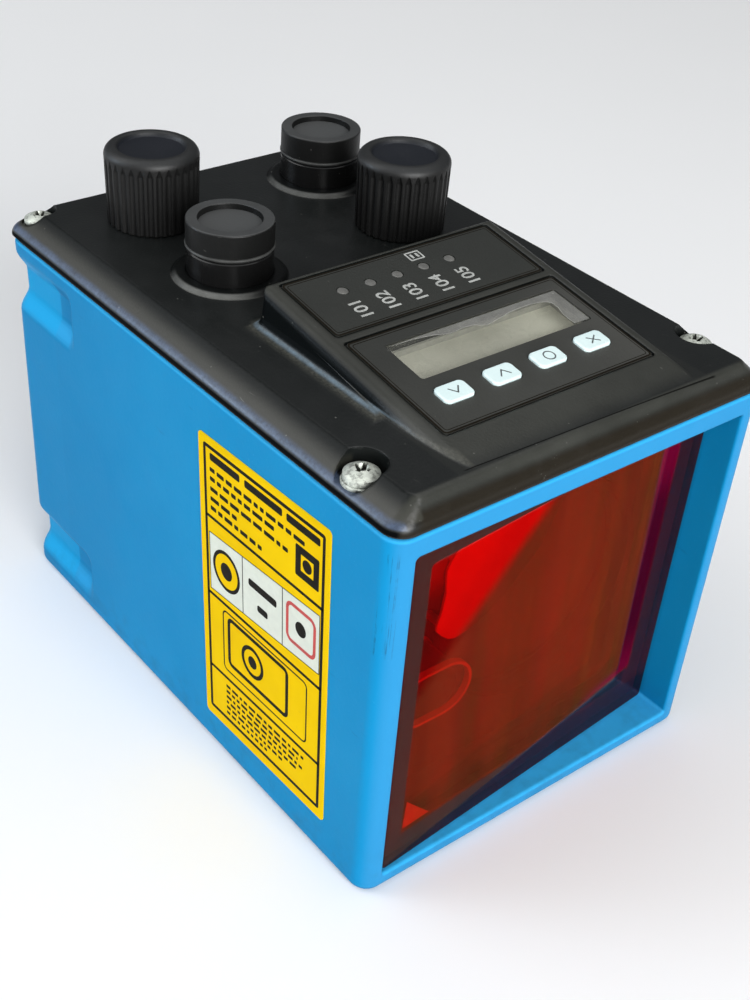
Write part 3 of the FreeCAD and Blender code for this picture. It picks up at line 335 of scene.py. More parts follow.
def make_cover():
    """Black cover: painted sheen on the hump top and front bevel, painted highlights on the collars and along the foot
    of the hump, painted shade on the hump's side and the upright band, dust along the foot of the hump.
    """
    m = Mat("cover_black", spec=0.5)
    z = m.axis("Z")
    big = m.noise(60.0, 4.0, 0.6)
    base = m.ramp(big, [(0.3, (0.0066, 0.0080, 0.0078)), (0.72, (0.0110, 0.0125, 0.0122))])
    pale = m.ramp(big, [(0.3, (0.024, 0.0252, 0.0212)), (0.72, (0.037, 0.0385, 0.0328))])
    # painted sheen: paler on the hump top and on the upper front bevel
    hump = m.math("MULTIPLY", box_mask(m, (-0.0230, None, 0.0709), (0.0230, -0.0022, None), 0.0003),
                  facing_up(m, 0.3, 0.9))
    fore = m.range(m.axis("Y"), -0.0487, -0.0479, 1.0, 0.0, True)
    front = m.math("MULTIPLY", fore, m.range(z, 0.0684, 0.0700, 0.0, 1.0, True))
    base = m.mix(m.math("MAXIMUM", hump, front), base, pale)
    # painted brown reflection low on the front bevel
    brown = m.math("MULTIPLY", m.range(m.axis("Y"), -0.0490, -0.0486, 1.0, 0.0, True),
                   m.math("MULTIPLY", m.range(z, 0.0686, 0.0698, 1.0, 0.0, True),
                          m.range(m.axis("X"), -0.0325, -0.0300, 0.0, 1.0, True)))
    base = m.mix(brown, base, (0.0150, 0.0122, 0.0080))
    # painted shade: thin dark line along the crease in front of the hump
    off = m.math("ADD", m.math("ADD", m.axis("Y"), 0.04835), m.math("MULTIPLY", m.axis("X"), 0.0262))
    crease = m.math("MULTIPLY", m.range(m.math("ABSOLUTE", off), 0.00006, 0.00015, 1.0, 0.0, True),
                    box_mask(m, (-0.0217, None, 0.0700), (0.0240, None, None), 0.0004))
    base = m.mix(m.math("MULTIPLY", crease, 0.9), base, (0.004, 0.004, 0.0035))
    collar = None
    for cx, cy in ((-0.0166, 0.0122), (0.0166, 0.0342)):
        away = from_axis(m, cx, cy)
        near = m.range(away, 0.0089, 0.0091, 1.0, 0.0)
        base = m.mix(m.math("MULTIPLY", near, 0.8), base, (0.0045, 0.0050, 0.0050))
        collar = near if collar is None else m.math("MAXIMUM", collar, near)
        # painted highlight: grey arc on the front-left of each collar, broken up by noise
        lit_side = m.math("ADD", m.math("MULTIPLY", m.math("SUBTRACT", m.axis("X"), cx), -0.86),
                           m.math("MULTIPLY", m.math("SUBTRACT", m.axis("Y"), cy), -0.51))
        ring = m.math("MULTIPLY", m.math("MULTIPLY", near, m.range(away, 0.0080, 0.0084, 0.0, 1.0, True)),
                      m.math("MULTIPLY", m.range(lit_side, 0.0034, 0.0066, 0.0, 1.0, True),
                             m.range(m.noise(260.0, 3.0), 0.3, 0.6, 0.55, 1.0)))
        base = m.mix(ring, base, (0.120, 0.122, 0.115))
    left_foot = box_mask(m, (-0.0262, -0.0478, None), (-0.0200, -0.0030, None), 0.0003)
    # dust with painted sheen on the outer part of the hump's foot
    foot_dust_and_sheen = m.math("MULTIPLY", left_foot, m.math("MULTIPLY", m.range(z, 0.07081, 0.07094, 0.0, 1.0, True),
                                                m.range(z, 0.07120, 0.07150, 1.0, 0.0, True)))
    grit = m.range(m.noise(2400.0, 5.0, 0.7), 0.36, 0.70, 0.15, 0.85)
    base = m.mix(m.math("MULTIPLY", foot_dust_and_sheen, grit), base, (0.090, 0.090, 0.074))
    # painted highlight: bluish line along the rear part of the hump's foot, broken up by noise
    rear_part = m.math("MULTIPLY", left_foot, m.range(m.axis("Y"), -0.0385, -0.0290, 0.0, 1.0, True))
    line = m.math("MULTIPLY", rear_part, m.math("MULTIPLY", m.range(z, 0.07094, 0.07114, 0.0, 1.0, True),
                                                m.range(z, 0.07118, 0.07150, 1.0, 0.0, True)))
    highlight_breakup = m.math("MULTIPLY", m.range(m.noise(420.0, 4.0, 0.65), 0.30, 0.62, 0.55, 1.0),
                  m.range(m.noise(1900.0, 4.0, 0.7), 0.32, 0.62, 0.55, 1.0))
    base = m.mix(m.math("MULTIPLY", line, highlight_breakup), base, (0.150, 0.210, 0.260))
    # painted shade: the hump's upright side is made darker above that painted highlight line
    cheek = m.math("MULTIPLY", m.math("MULTIPLY", rear_part, m.range(z, 0.07132, 0.07160, 0.0, 1.0, True)),
                   m.range(facing_up(m, 0.55, 0.85), 0.0, 1.0, 1.0, 0.0))
    base = m.mix(cheek, base, (0.0040, 0.0052, 0.0056))
    # painted sheen on the lower half of the left bevel
    left_bevel = m.math("MULTIPLY", m.range(m.axis("X"), -0.0306, -0.0300, 1.0, 0.0, True),
                        m.range(z, 0.07074, 0.07079, 1.0, 0.0))
    bevel_sheen = m.math("MULTIPLY", left_bevel, m.math("MULTIPLY", m.range(z, 0.0680, 0.0684, 0.0, 1.0, True),
                                                  m.range(z, 0.0688, 0.0704, 1.0, 0.0, True)))
    base = m.mix(m.math("MULTIPLY", bevel_sheen, 0.75), base, (0.040, 0.040, 0.032))
    # painted highlight: bluish line along the lower edge of the left bevel, broken up by noise
    low_edge = m.math("MULTIPLY", m.range(m.axis("X"), -0.0330, -0.0325, 1.0, 0.0, True),
                      m.math("MULTIPLY", m.range(z, 0.06735, 0.0677, 0.0, 1.0, True),
                             m.range(z, 0.0680, 0.0686, 1.0, 0.0, True)))
    base = m.mix(m.math("MULTIPLY", low_edge, highlight_breakup), base, (0.078, 0.110, 0.180))
    # painted shade: the upright band below the bevel is made darker, with a painted brown reflection at its front
    band = m.range(z, 0.06715, 0.06745, 1.0, 0.0, True)
    at_front = m.range(m.axis("Y"), -0.0503, -0.0497, 1.0, 0.0, True)
    base = m.mix(band, base, m.mix(at_front, (0.0028, 0.0030, 0.0034), (0.014, 0.0115, 0.008)))
    m.color(dust_layer(m, base, 1.2))
    satin(m, 0.34, 1.0, 0.0005)
    sheen = m.range(facing_up(m, 0.05, 0.5), 0.0, 1.0, 0.10, 0.5)
    sheen = m.math("MULTIPLY", sheen, m.range(m.math("SUBTRACT", band, at_front), 0.0, 1.0, 1.0, 0.05))
    fade = m.math("MULTIPLY", left_bevel, m.range(z, 0.0684, 0.0706, 0.0, 1.0, True))
    slope = m.math("MULTIPLY", rear_part, m.range(z, 0.07083, 0.07090, 0.0, 1.0, True))
    slope = m.math("MULTIPLY", slope, m.range(facing_up(m, 0.90, 0.97), 0.0, 1.0, 1.0, 0.4))
    cheek = m.math("MAXIMUM", cheek, m.math("MAXIMUM", m.math("MULTIPLY", crease, 0.9), m.math("MULTIPLY", brown, 0.65)))
    dull = m.math("MAXIMUM", m.math("MAXIMUM", cheek, m.math("MULTIPLY", collar, 0.8)),
                  m.math("MAXIMUM", m.math("MULTIPLY", fade, 0.8), m.math("MULTIPLY", slope, 0.6)))
    m.link(m.math("MULTIPLY", sheen, m.range(dull, 0.0, 1.0, 1.0, 0.12)), m.p.inputs["Specular IOR Level"])
    return m.mat


def make_cap():
    """Knurled cap: worn shoulder, dish darkened with painted shade and a bluish painted reflection."""
    m = Mat("cap_black", spec=0.5)
    base = m.ramp(m.noise(70.0, 4.0, 0.6), [(0.3, (0.0066, 0.0067, 0.0066)), (0.72, (0.0112, 0.0112, 0.0110))])
    base = m.mix(facing_up(m, 0.15, 0.75), base, (0.0140, 0.0150, 0.0155))
    # painted shade with a bluish painted reflection in the dish of each cap
    for cx, cy in ((-0.0166, 0.0342), (0.0166, 0.0122)):
        dish = m.math("MULTIPLY", m.range(from_axis(m, cx, cy), 0.0050, 0.0056, 1.0, 0.0, True),
                      m.range(m.axis("Z"), 0.0815, 0.0820, 0.0, 1.0))
        base = m.mix(dish, base, (0.0040, 0.0062, 0.0115))
    m.color(dust_layer(m, base, 0.5))
    satin(m, 0.46, 0.8, 0.0003)
    upright_sheen(m, 0.22, 0.5)
    return m.mat


def make_plug():
    """Blanking plug: painted light on the paler top and dish floor, dark side, painted highlight along the lower lip.
    """
    m = Mat("plug_black", spec=0.5)
    base = m.ramp(m.noise(80.0, 4.0, 0.6), [(0.3, (0.0060, 0.0062, 0.0060)), (0.72, (0.0100, 0.0102, 0.0100))])
    # painted light: the top faces are made paler than the side, the dish floor paler still
    top = m.ramp(m.noise(140.0, 4.0, 0.6), [(0.3, (0.046, 0.048, 0.048)), (0.72, (0.064, 0.066, 0.066))])
    for cx, cy in ((-0.0166, 0.0122), (0.0166, 0.0342)):
        floor_of = m.range(from_axis(m, cx, cy), 0.0048, 0.0050, 1.0, 0.0)
        top = m.mix(floor_of, top, (0.076, 0.079, 0.079))
    base = m.mix(m.math("MULTIPLY", facing_up(m), m.range(m.axis("Z"), 0.0780, 0.0784, 0.0, 1.0)), base, top)
    # painted highlight along the lower lip, broken up by noise
    lip = m.math("MULTIPLY", m.range(m.axis("Z"), 0.07600, 0.07620, 1.0, 0.0),
                 m.range(m.noise(330.0, 3.0), 0.3, 0.6, 0.35, 0.9))
    base = m.mix(lip, base, (0.075, 0.077, 0.074))
    m.color(dust_layer(m, base, 0.6))
    satin(m, 0.40, 0.8)
    upright_sheen(m, 0.10, 0.4)
    return m.mat


def make_label():
    m = Mat("label_yellow", spec=0.01)
    base = m.ramp(m.noise(70.0, 4.0), [(0.3, (0.78, 0.500, 0.001)), (0.7, (0.86, 0.570, 0.002))])
    edge = m.noise(900.0, 3.0)
    base = m.mix(m.range(edge, 0.66, 0.74, 0.0, 0.25), base, (0.62, 0.40, 0.02))
    m.color(base)
    m.rough(m.range(m.noise(200.0, 3.0), 0.3, 0.7, 0.40, 0.52))
    m.bump(m.noise(700.0, 3.0), 0.05, 0.0002)
    return m.mat


def ink(name, col, rough=0.45, var=0.25, gloss=0.4):
    m = Mat(name, spec=gloss)
    a = tuple(c * (1 - var) for c in col)
    b = tuple(min(1.0, c * (1 + var)) for c in col)
    m.color(m.ramp(m.noise(700.0, 4.0, 0.6), [(0.3, a), (0.7, b)]))
    m.rough(m.range(m.noise(400.0, 2.0), 0.3, 0.7, rough - 0.06, rough + 0.06))
    m.bump(m.noise(1500.0, 2.0), 0.05, 0.0001)
    return m.mat


def metal(name, col, rough, brushed=(600, 600, 4000), dark=0.55, dirt=0.3, share=1.0,
          grime=0.0, blot=0.0):
    m = Mat(name, metal=share)
    line = m.noise(1.0, 4.0, 0.6, stretch=brushed)
    a = tuple(c * dark for c in col)
    base = m.ramp(line, [(0.25, a), (0.62, col)])
    stain = m.noise(500.0, 4.0, 0.65)
    base = m.mix(m.range(stain, 0.52, 0.75, 0.0, dirt), base, tuple(c * 0.22 for c in col))
    if blot:
        patch = m.noise(1500.0, 4.0, 0.7, offset=(3.0, 1.0, 2.0))
        base = m.mix(m.range(patch, 0.50, 0.62, 0.0, blot), base, tuple(c * 0.16 for c in col))
    # painted shade: darker where ambient occlusion finds recesses
    if grime:
        ao = m.new("ShaderNodeAmbientOcclusion")
        ao.samples = 8
        ao.inputs["Distance"].default_value = 0.0012
        base = m.mix(m.range(ao.outputs["AO"], 0.25, 0.75, grime, 0.0, True), base, (0.02, 0.019, 0.016))
    m.color(base)
    m.rough(m.range(m.noise(900.0, 3.0), 0.25, 0.75, rough - 0.08, rough + 0.12))
    m.bump(line, 0.12, 0.0001)
    return m.mat


def plastic(name, lo, hi, rough, scale=300.0, bump=0.12, bump_scale=1800.0, spec=0.5):
    m = Mat(name, spec=spec)
    m.color(m.ramp(m.noise(scale, 4.0, 0.6), [(0.3, lo), (0.7, hi)]))
    m.rough(m.range(m.noise(scale * 1.7, 3.0), 0.25, 0.75, rough - 0.06, rough + 0.08))
    m.bump(m.noise(bump_scale, 2.0), bump, 0.0002)
    return m.mat


def gloss_amount(m, f0):
    """Share of mirror light: f0 head on, rising to 1 at grazing angles."""
    lw = m.new("ShaderNodeLayerWeight")
    lw.inputs["Blend"].default_value = 0.5
    return m.range(m.math("POWER", lw.outputs["Facing"], 5.0), 0.0, 1.0, f0, 1.0)


def blend(m, fac, a, b):
    s = m.new("ShaderNodeMixShader")
    if isinstance(fac, (int, float)):
        s.inputs[0].default_value = fac
    else:
        m.link(fac, s.inputs[0])
    m.link(a, s.inputs[1])
    m.link(b, s.inputs[2])
    return s.outputs[0]


def diffuse(m, col):
    d = m.new("ShaderNodeBsdfDiffuse")
    if isinstance(col, tuple):
        d.inputs["Color"].default_value = (*col, 1.0)
    else:
        m.link(col, d.inputs["Color"])
    return d.outputs[0]


def glossy(m, col, rough):
    g = m.new("ShaderNodeBsdfGlossy")
    g.inputs["Roughness"].default_value = rough
    if isinstance(col, tuple):
        g.inputs["Color"].default_value = (*col, 1.0)
    else:
        m.link(col, g.inputs["Color"])
    return g.outputs[0]


def see_through(m, tint):
    tr = m.new("ShaderNodeBsdfTransparent")
    tr.inputs["Color"].default_value = (*tint, 1.0)
    return tr.outputs[0]


def clear(name, tint, veil, veil_col, f0, rough=0.03):
    """See-through sheet: tinted transparency, a faint body colour and a gloss."""
    m = Mat(name)
    m.nt.nodes.remove(m.p)
    grime = m.noise(240.0, 5.0, 0.65)
    df = diffuse(m, m.ramp(grime, [(0.3, tuple(c * 0.8 for c in veil_col)), (0.75, veil_col)]))
    streak = m.noise(1.0, 4.0, 0.6, stretch=(260, 260, 34))
    body = blend(m, m.range(streak, 0.3, 0.75, veil * 0.7, veil * 1.3), see_through(m, tint), df)
    top = blend(m, gloss_amount(m, f0), body, glossy(m, (1.0, 1.0, 1.0), rough))
    m.link(top, m.out.inputs["Surface"])
    return m.mat


def make_window():
    """Red acrylic: painted brown reflection in the gloss over the middle, cloudy upright streaks, painted purple
    reflection by the right edge.
    """
    m = Mat("red_window")
    m.nt.nodes.remove(m.p)
    x, z = m.axis("X"), m.axis("Z")
    # upright streaks and cloudy patches in the body colour
    cloud = m.noise(1.0, 4.0, 0.6, stretch=(130, 130, 17), offset=(0.3, 0.0, 0.1))
    haze = m.ramp(cloud, [(0.30, (0.08, 0.018, 0.006)), (0.48, (0.27, 0.032, 0.011)),
                          (0.68, (0.46, 0.046, 0.015))])
    olive = m.range(m.noise(1.0, 3.0, 0.6, stretch=(150, 150, 24), offset=(2.1, 0.4, 0.9)), 0.50, 0.66, 0.0, 0.8)
    haze = m.mix(olive, haze, (0.085, 0.055, 0.012))
    veil = m.range(m.noise(1.0, 3.0, 0.6, stretch=(240, 240, 12)), 0.3, 0.75, 0.08, 0.17)
    # the upper left corner has less haze and a pure red gloss without the painted brown reflection, so the painted
    # patch of light inside shows
    slope = m.math("SUBTRACT", z, m.math("MULTIPLY", x, 1.0))
    lit_corner = m.range(slope, 0.0610, 0.0665, 0.0, 1.0, True)
    veil = m.math("MULTIPLY", veil, m.range(lit_corner, 0.0, 1.0, 1.0, 0.10))
    # painted reflection of the blue wall: purple strip by the right edge and along the sill, strongest near its ends
    wall = m.math("ADD", x, m.math("MULTIPLY", z, 0.0264))
    sill = m.math("SUBTRACT", z, m.math("MULTIPLY", x, 0.185))
    at_wall = m.range(wall, 0.0217, 0.0224, 0.0, 1.0, True)
    at_sill = m.range(sill, 0.0080, 0.0092, 1.0, 0.0, True)
    over_sill = m.range(at_sill, 0.0, 1.0, 1.0, 0.0)
    strip = m.math("MULTIPLY", at_wall, m.range(x, 0.0244, 0.0250, 1.0, 0.0, True))
    edge = m.math("MULTIPLY", m.range(sill, 0.0092, 0.0112, 1.0, 0.0, True), m.range(x, 0.0085, 0.0215, 0.0, 1.0, True))
    strip = m.math("MULTIPLY", m.math("MAXIMUM", strip, m.math("MULTIPLY", edge, m.range(x, 0.0244, 0.0250, 1.0, 0.0, True))), over_sill)
    ends = m.math("MAXIMUM", m.range(z, 0.046, 0.056, 0.0, 1.0, True), m.range(z, 0.012, 0.024, 1.0, 0.0, True))
    haze = m.mix(strip, haze, m.mix(ends, (0.09, 0.0, 0.010), (0.24, 0.0, 0.028)))
    dim = m.math("MAXIMUM", at_wall, at_sill)
    veil = m.math("MULTIPLY", veil, m.range(dim, 0.0, 1.0, 1.0, 0.40))
    veil = m.math("MAXIMUM", veil, m.range(strip, 0.0, 1.0, 0.0, 0.42))
    rim = m.math("MAXIMUM", m.range(x, -0.0276, -0.0272, 1.0, 0.0),
                 m.math("MAXIMUM", m.range(z, 0.0594, 0.0598, 0.0, 1.0), m.range(z, 0.0088, 0.0092, 1.0, 0.0)))
    veil = m.math("MULTIPLY", veil, m.range(rim, 0.0, 1.0, 1.0, 0.20))
    body = blend(m, veil, see_through(m, (0.86, 0.009, 0.014)), diffuse(m, haze))
    # painted reflection: the gloss is tinted brown in streaks, pure red in the upper left corner, grey by the rim,
    # pinker by the wall and sill, purple on the strip
    streak = m.noise(1.0, 4.0, 0.6, stretch=(175, 175, 13), offset=(1.7, 0.2, 0.5))
    tint = m.ramp(streak, [(0.34, (0.62, 0.255, 0.075)), (0.50, (0.93, 0.220, 0.085)), (0.66, (1.0, 0.185, 0.085))])
    tint = m.mix(lit_corner, tint, (1.0, 0.03, 0.03))
    tint = m.mix(rim, tint, (0.46, 0.44, 0.39))
    tint = m.mix(dim, tint, (0.80, 0.66, 0.74))
    tint = m.mix(strip, tint, (0.7, 0.12, 0.26))
    top = blend(m, gloss_amount(m, 0.036), body, glossy(m, tint, 0.045))
    m.link(top, m.out.inputs["Surface"])
    return m.mat


BLUE = make_blue()
COVER = make_cover()
CAPBLACK = make_cap()
PLUGBLACK = make_plug()
BUSH = black_skin("bush_black", 0.007, 0.20, 0.5, 0.25)
FILM = make_film()
INNER = black_skin("inner_black", 0.020, 0.55, 0.2, 1.0)
RUBBER = plastic("seal_rubber", (0.008, 0.008, 0.008), (0.016, 0.016, 0.016), 0.62)
# zinc with painted shade in its recesses
ZINC = metal("zinc", (0.72, 0.76, 0.68), 0.42, dark=0.75, dirt=0.30, share=0.40, grime=0.95, blot=0.6)
NICKEL = metal("nickel_brass", (0.72, 0.66, 0.50), 0.28)
TIN = metal("tin_can", (0.70, 0.70, 0.69), 0.34)
SPRING = metal("spring_steel", (0.74, 0.74, 0.74), 0.22)
KEYWHITE = plastic("key_white", (0.70, 0.86, 0.86), (0.78, 0.93, 0.925), 0.36, 220.0, 0.06)
GUIDE = plastic("light_guide", (0.10, 0.10, 0.094), (0.16, 0.158, 0.148), 0.40, 900.0, 0.08)
LABEL = make_label()
BOARD = plastic("board_green", (0.008, 0.07, 0.025), (0.014, 0.105, 0.04), 0.42, 400.0, 0.1)
CHIP = plastic("chip_black", (0.012, 0.012, 0.013), (0.022, 0.022, 0.022), 0.5)
LCDBODY = plastic("lcd_body", (0.10, 0.10, 0.09), (0.14, 0.14, 0.125), 0.45)
LEDCASE = plastic("led_case", (0.55, 0.50, 0.30), (0.66, 0.62, 0.42), 0.3)
RIBBON = plastic("ribbon_jacket", (0.46, 0.45, 0.42), (0.56, 0.55, 0.51), 0.42)
INK_BLACK = ink("ink_black", (0.011, 0.009, 0.006), 0.5, 0.3, 0.04)
INK_WHITE = ink("ink_white", (0.66, 0.69, 0.60), 0.5, 0.05)
INK_GREY = ink("ink_grey", (0.42, 0.43, 0.41), 0.5, 0.2)
BORDER = ink("border_ink", (0.010, 0.008, 0.0075), 0.5, 0.3)
INK_RED = ink("ink_red", (0.50, 0.035, 0.030), 0.45, 0.15)
INK_KEY = ink("ink_key", (0.11, 0.125, 0.13), 0.5, 0.3, 0.2)


def make_lcd():
    m = Mat("lcd_glass", spec=0.5)
    g = m.noise(90.0, 4.0, 0.6)
    base = m.ramp(g, [(0.3, (0.60, 0.60, 0.55)), (0.7, (0.68, 0.68, 0.63))])
    # painted light: paler towards the right end
    m.color(m.mix(m.range(m.axis("X"), 0.002, 0.016, 0.0, 1.0, True), base, (0.86, 0.86, 0.79)))
    m.rough(m.range(m.noise(300.0, 3.0), 0.3, 0.7, 0.22, 0.34))
    m.bump(m.noise(600.0, 2.0), 0.04, 0.0002)
    return m.mat


LCD = make_lcd()
WINDOW = make_window()
PANE = clear("display_pane", (0.95, 0.95, 0.92), 0.05, (0.5, 0.5, 0.46), 0.045, 0.07)
LENS = clear("lens_glass", (0.90, 0.92, 0.94), 0.02, (0.4, 0.42, 0.5), 0.04, 0.02)


def make_barrel():
    """Turned brass, blackened on the part in front of the carrier."""
    m = Mat("barrel_brass")
    line = m.noise(1.0, 4.0, 0.6, stretch=(500, 5200, 500))
    base = m.ramp(line, [(0.25, (0.40, 0.31, 0.16)), (0.62, (0.72, 0.58, 0.33))])
    front = m.range(m.axis("Y"), -0.0385, -0.0381, 1.0, 0.0)
    m.color(m.mix(front, base, (0.012, 0.011, 0.011)))
    m.link(m.range(front, 0.0, 1.0, 1.0, 0.0), m.p.inputs["Metallic"])
    m.rough(m.range(m.noise(900.0, 3.0), 0.25, 0.75, 0.26, 0.42))
    m.bump(line, 0.12, 0.0001)
    return m.mat


def make_lit_patch():
    """Sheet with a painted patch of light that fades into painted shadow across a slanting soft edge."""
    m = Mat("lit_patch_sheet", spec=0.2)
    x, z = m.axis("X"), m.axis("Z")
    slope = m.math("SUBTRACT", z, m.math("MULTIPLY", x, 1.2))
    fade = m.range(slope, 0.0512, 0.0566, 0.0, 1.0, True)
    pale = m.ramp(m.noise(160.0, 4.0), [(0.3, (0.78, 0.76, 0.74)), (0.7, (0.92, 0.90, 0.88))])
    m.color(m.mix(fade, (0.012, 0.012, 0.012), pale))
    m.rough(m.range(m.noise(500.0, 3.0), 0.3, 0.7, 0.5, 0.65))
    m.bump(m.noise(1500.0, 2.0), 0.06, 0.0001)
    return m.mat


def make_backing():
    """Shaded sheet beside the pale one, dark towards its lower end."""
    m = Mat("backing_sheet", spec=0.2)
    fade = m.range(m.axis("Z"), 0.0445, 0.0510, 0.0, 1.0, True)
    mid = m.ramp(m.noise(160.0, 4.0), [(0.3, (0.24, 0.23, 0.22)), (0.7, (0.34, 0.33, 0.32))])
    m.color(m.mix(fade, (0.02, 0.02, 0.02), mid))
    m.rough(m.range(m.noise(500.0, 3.0), 0.3, 0.7, 0.5, 0.65))
    m.bump(m.noise(1500.0, 2.0), 0.06, 0.0001)
    return m.mat


FILMCLEAR = clear("film_clear", (0.92, 0.92, 0.90), 0.45, (0.36, 0.36, 0.34), 0.045, 0.16)
FILMEDGE = ink("film_edge", (0.30, 0.30, 0.28), 0.4, 0.3)
SPACER = plastic("spacer_foam", (0.32, 0.32, 0.305), (0.42, 0.42, 0.40), 0.6, 900.0, 0.2)
BARREL = make_barrel()
LIT_PATCH = make_lit_patch()
BACKING = make_backing()
PATCH = plastic("pale_patch", (0.34, 0.32, 0.31), (0.48, 0.46, 0.44), 0.6, 500.0, 0.1)
FOAM = plastic("seal_foam", (0.55, 0.52, 0.50), (0.66, 0.63, 0.60), 0.7, 900.0, 0.3)

USE = {
    "housing": BLUE, "top_cover": COVER, "front_window": WINDOW, "window_seal": RUBBER,
    "side_label": LABEL, "cover_gasket": RUBBER, "cover_screws": ZINC,
    "cover_screw_washers": ZINC, "key_overlay": FILM, "indicator_overlay": FILM,
    "display_pane": PANE, "key_1": KEYWHITE, "key_2": KEYWHITE, "key_3": KEYWHITE,
    "key_4": KEYWHITE, "light_guides": GUIDE, "display_module": LCDBODY, "display_glass": LCD,
    "display_board": BOARD, "key_domes": SPRING, "indicator_leds": LEDCASE,
    "display_board_screws": ZINC, "cap_rear_left": CAPBLACK, "cap_front_right": CAPBLACK,
    "cap_seal_rear_left": RUBBER, "cap_seal_front_right": RUBBER,
    "plug_front_left": PLUGBLACK, "plug_rear_right": PLUGBLACK,
    "plug_ring_front_left": RUBBER, "plug_ring_rear_right": RUBBER,
    "connector_stubs": NICKEL, "connector_sockets": BUSH, "stub_inserts": INNER,
    "stub_pins": NICKEL, "socket_inserts": INNER, "socket_contacts": NICKEL,
    "socket_nuts": NICKEL, "connector_board": BOARD, "connector_board_spacers": NICKEL,
    "connector_board_screws": ZINC, "optics_carrier": INNER, "carrier_screws": ZINC,
    "receiver_lens": LENS, "lens_ring": INNER, "laser_barrel": BARREL, "beam_seal": FOAM, "collimator_lens": LENS,
    "laser_diode": TIN, "laser_board": BOARD, "detector": TIN, "detector_board": BOARD,
    "main_board": BOARD, "main_board_posts": NICKEL, "main_board_screws": ZINC,
    "main_board_chips": CHIP, "shield_can": TIN, "cable_headers": CHIP,
    "flat_cable_display": RIBBON, "flat_cable_ports": RIBBON,
}
for name, ob in NODES.items():
    ob.data.materials.clear()
    ob.data.materials.append(USE[name])


# ----------------------------------------------------------------------------
# Mesh kit: flat print with a little thickness
# ----------------------------------------------------------------------------
T = math.radians(7.79)
PANEL = Matrix.Translation(Vector((0, -48.76, 70.70)) * MM) @ Matrix.Rotation(T, 4, "X")


def on_panel(x, s, h=0.0):
    return PANEL @ (Vector((x, s, h)) * MM)


LW, LH, LTURN = 31.5, 53.0, math.radians(2.3)


def on_label(u, v, h=0.0):
    """u from the rear edge of the label towards the front, v up from its lower edge."""
    a, b = u - LW / 2, v - LH / 2
    c, s = math.cos(LTURN), math.sin(LTURN)
    return Vector((-34.82 - h, -23.75 - a * c + b * s, 33.6 + a * s + b * c)) * MM


def rrect_points(x0, x1, y0, y1, r, n=5):
    pts = []
    for cx, cy, a0 in ((x1 - r, y1 - r, 0), (x0 + r, y1 - r, 90), (x0 + r, y0 + r, 180),
                       (x1 - r, y0 + r, 270)):
        for i in range(n + 1):
            a = math.radians(a0 + 90.0 * i / n)
            pts.append((cx + r * math.cos(a), cy + r * math.sin(a)))
    return pts


def circle_points(cx, cy, r, n=32):
    return [(cx + r * math.cos(2 * math.pi * i / n), cy + r * math.sin(2 * math.pi * i / n))
            for i in range(n)]


class Print:
    """Thin raised shapes on a flat carrier, collected into one closed mesh."""

    def __init__(self, place, h0, h1):
        self.bm = bmesh.new()
        self.place, self.h0, self.h1 = place, h0, h1

    def ring(self, outer, inner=None):
        bm, n = self.bm, len(outer)
        lo = [bm.verts.new(self.place(x, y, self.h0)) for x, y in outer]
        hi = [bm.verts.new(self.place(x, y, self.h1)) for x, y in outer]
        for i in range(n):
            j = (i + 1) % n
            bm.faces.new((lo[i], lo[j], hi[j], hi[i]))
        if inner is None:
            bm.faces.new(hi)
            bm.faces.new(lo[::-1])
            return
        li = [bm.verts.new(self.place(x, y, self.h0)) for x, y in inner]
        hi2 = [bm.verts.new(self.place(x, y, self.h1)) for x, y in inner]
        for i in range(n):
            j = (i + 1) % n
            bm.faces.new((li[j], li[i], hi2[i], hi2[j]))
            bm.faces.new((hi[i], hi[j], hi2[j], hi2[i]))
            bm.faces.new((lo[j], lo[i], li[i], li[j]))

    def bar(self, x0, x1, y0, y1, r=0.0):
        r = min(r, abs(x1 - x0) / 2.01, abs(y1 - y0) / 2.01)
        self.ring(rrect_points(x0, x1, y0, y1, r) if r > 0 else
                  [(x1, y1), (x0, y1), (x0, y0), (x1, y0)])

    def frame(self, x0, x1, y0, y1, w, r=0.5):
        self.ring(rrect_points(x0, x1, y0, y1, r),
                  rrect_points(x0 + w, x1 - w, y0 + w, y1 - w, max(r - w, 0.05)))

    def disc(self, cx, cy, r, n=32):
        self.ring(circle_points(cx, cy, r, n))

    def hoop(self, cx, cy, r, w, n=40):
        self.ring(circle_points(cx, cy, r, n), circle_points(cx, cy, r - w, n))

    def stroke(self, a, b, w):
        (x0, y0), (x1, y1) = a, b
        d = math.hypot(x1 - x0, y1 - y0)
        nx, ny = -(y1 - y0) / d * w / 2, (x1 - x0) / d * w / 2
        ex, ey = (x1 - x0) / d * w / 2, (y1 - y0) / d * w / 2
        self.ring([(x1 + nx + ex * 0, y1 + ny), (x0 + nx, y0 + ny),
                   (x0 - nx, y0 - ny), (x1 - nx, y1 - ny)])

    def finish(self, name, mat, body):
        bmesh.ops.recalc_face_normals(self.bm, faces=self.bm.faces)
        me = bpy.data.meshes.new(name)
        self.bm.to_mesh(me)
        self.bm.free()
        me.materials.append(mat)
        ob = bpy.data.objects.new(name, me)
        bpy.context.scene.collection.objects.link(ob)
        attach(ob, body)
        return ob


# ---- side label -------------------------------------------------------------
def dashes(pr, a, b, v, half, seed, short, long, gap):
    """A row of plain dashes."""
    rng = random.Random(seed)
    x = a
    while x < b - short * 0.6:
        w = rng.uniform(short, long)
        pr.bar(x, min(x + w, b), v - half, v + half, half * 0.5)
        x += w + gap


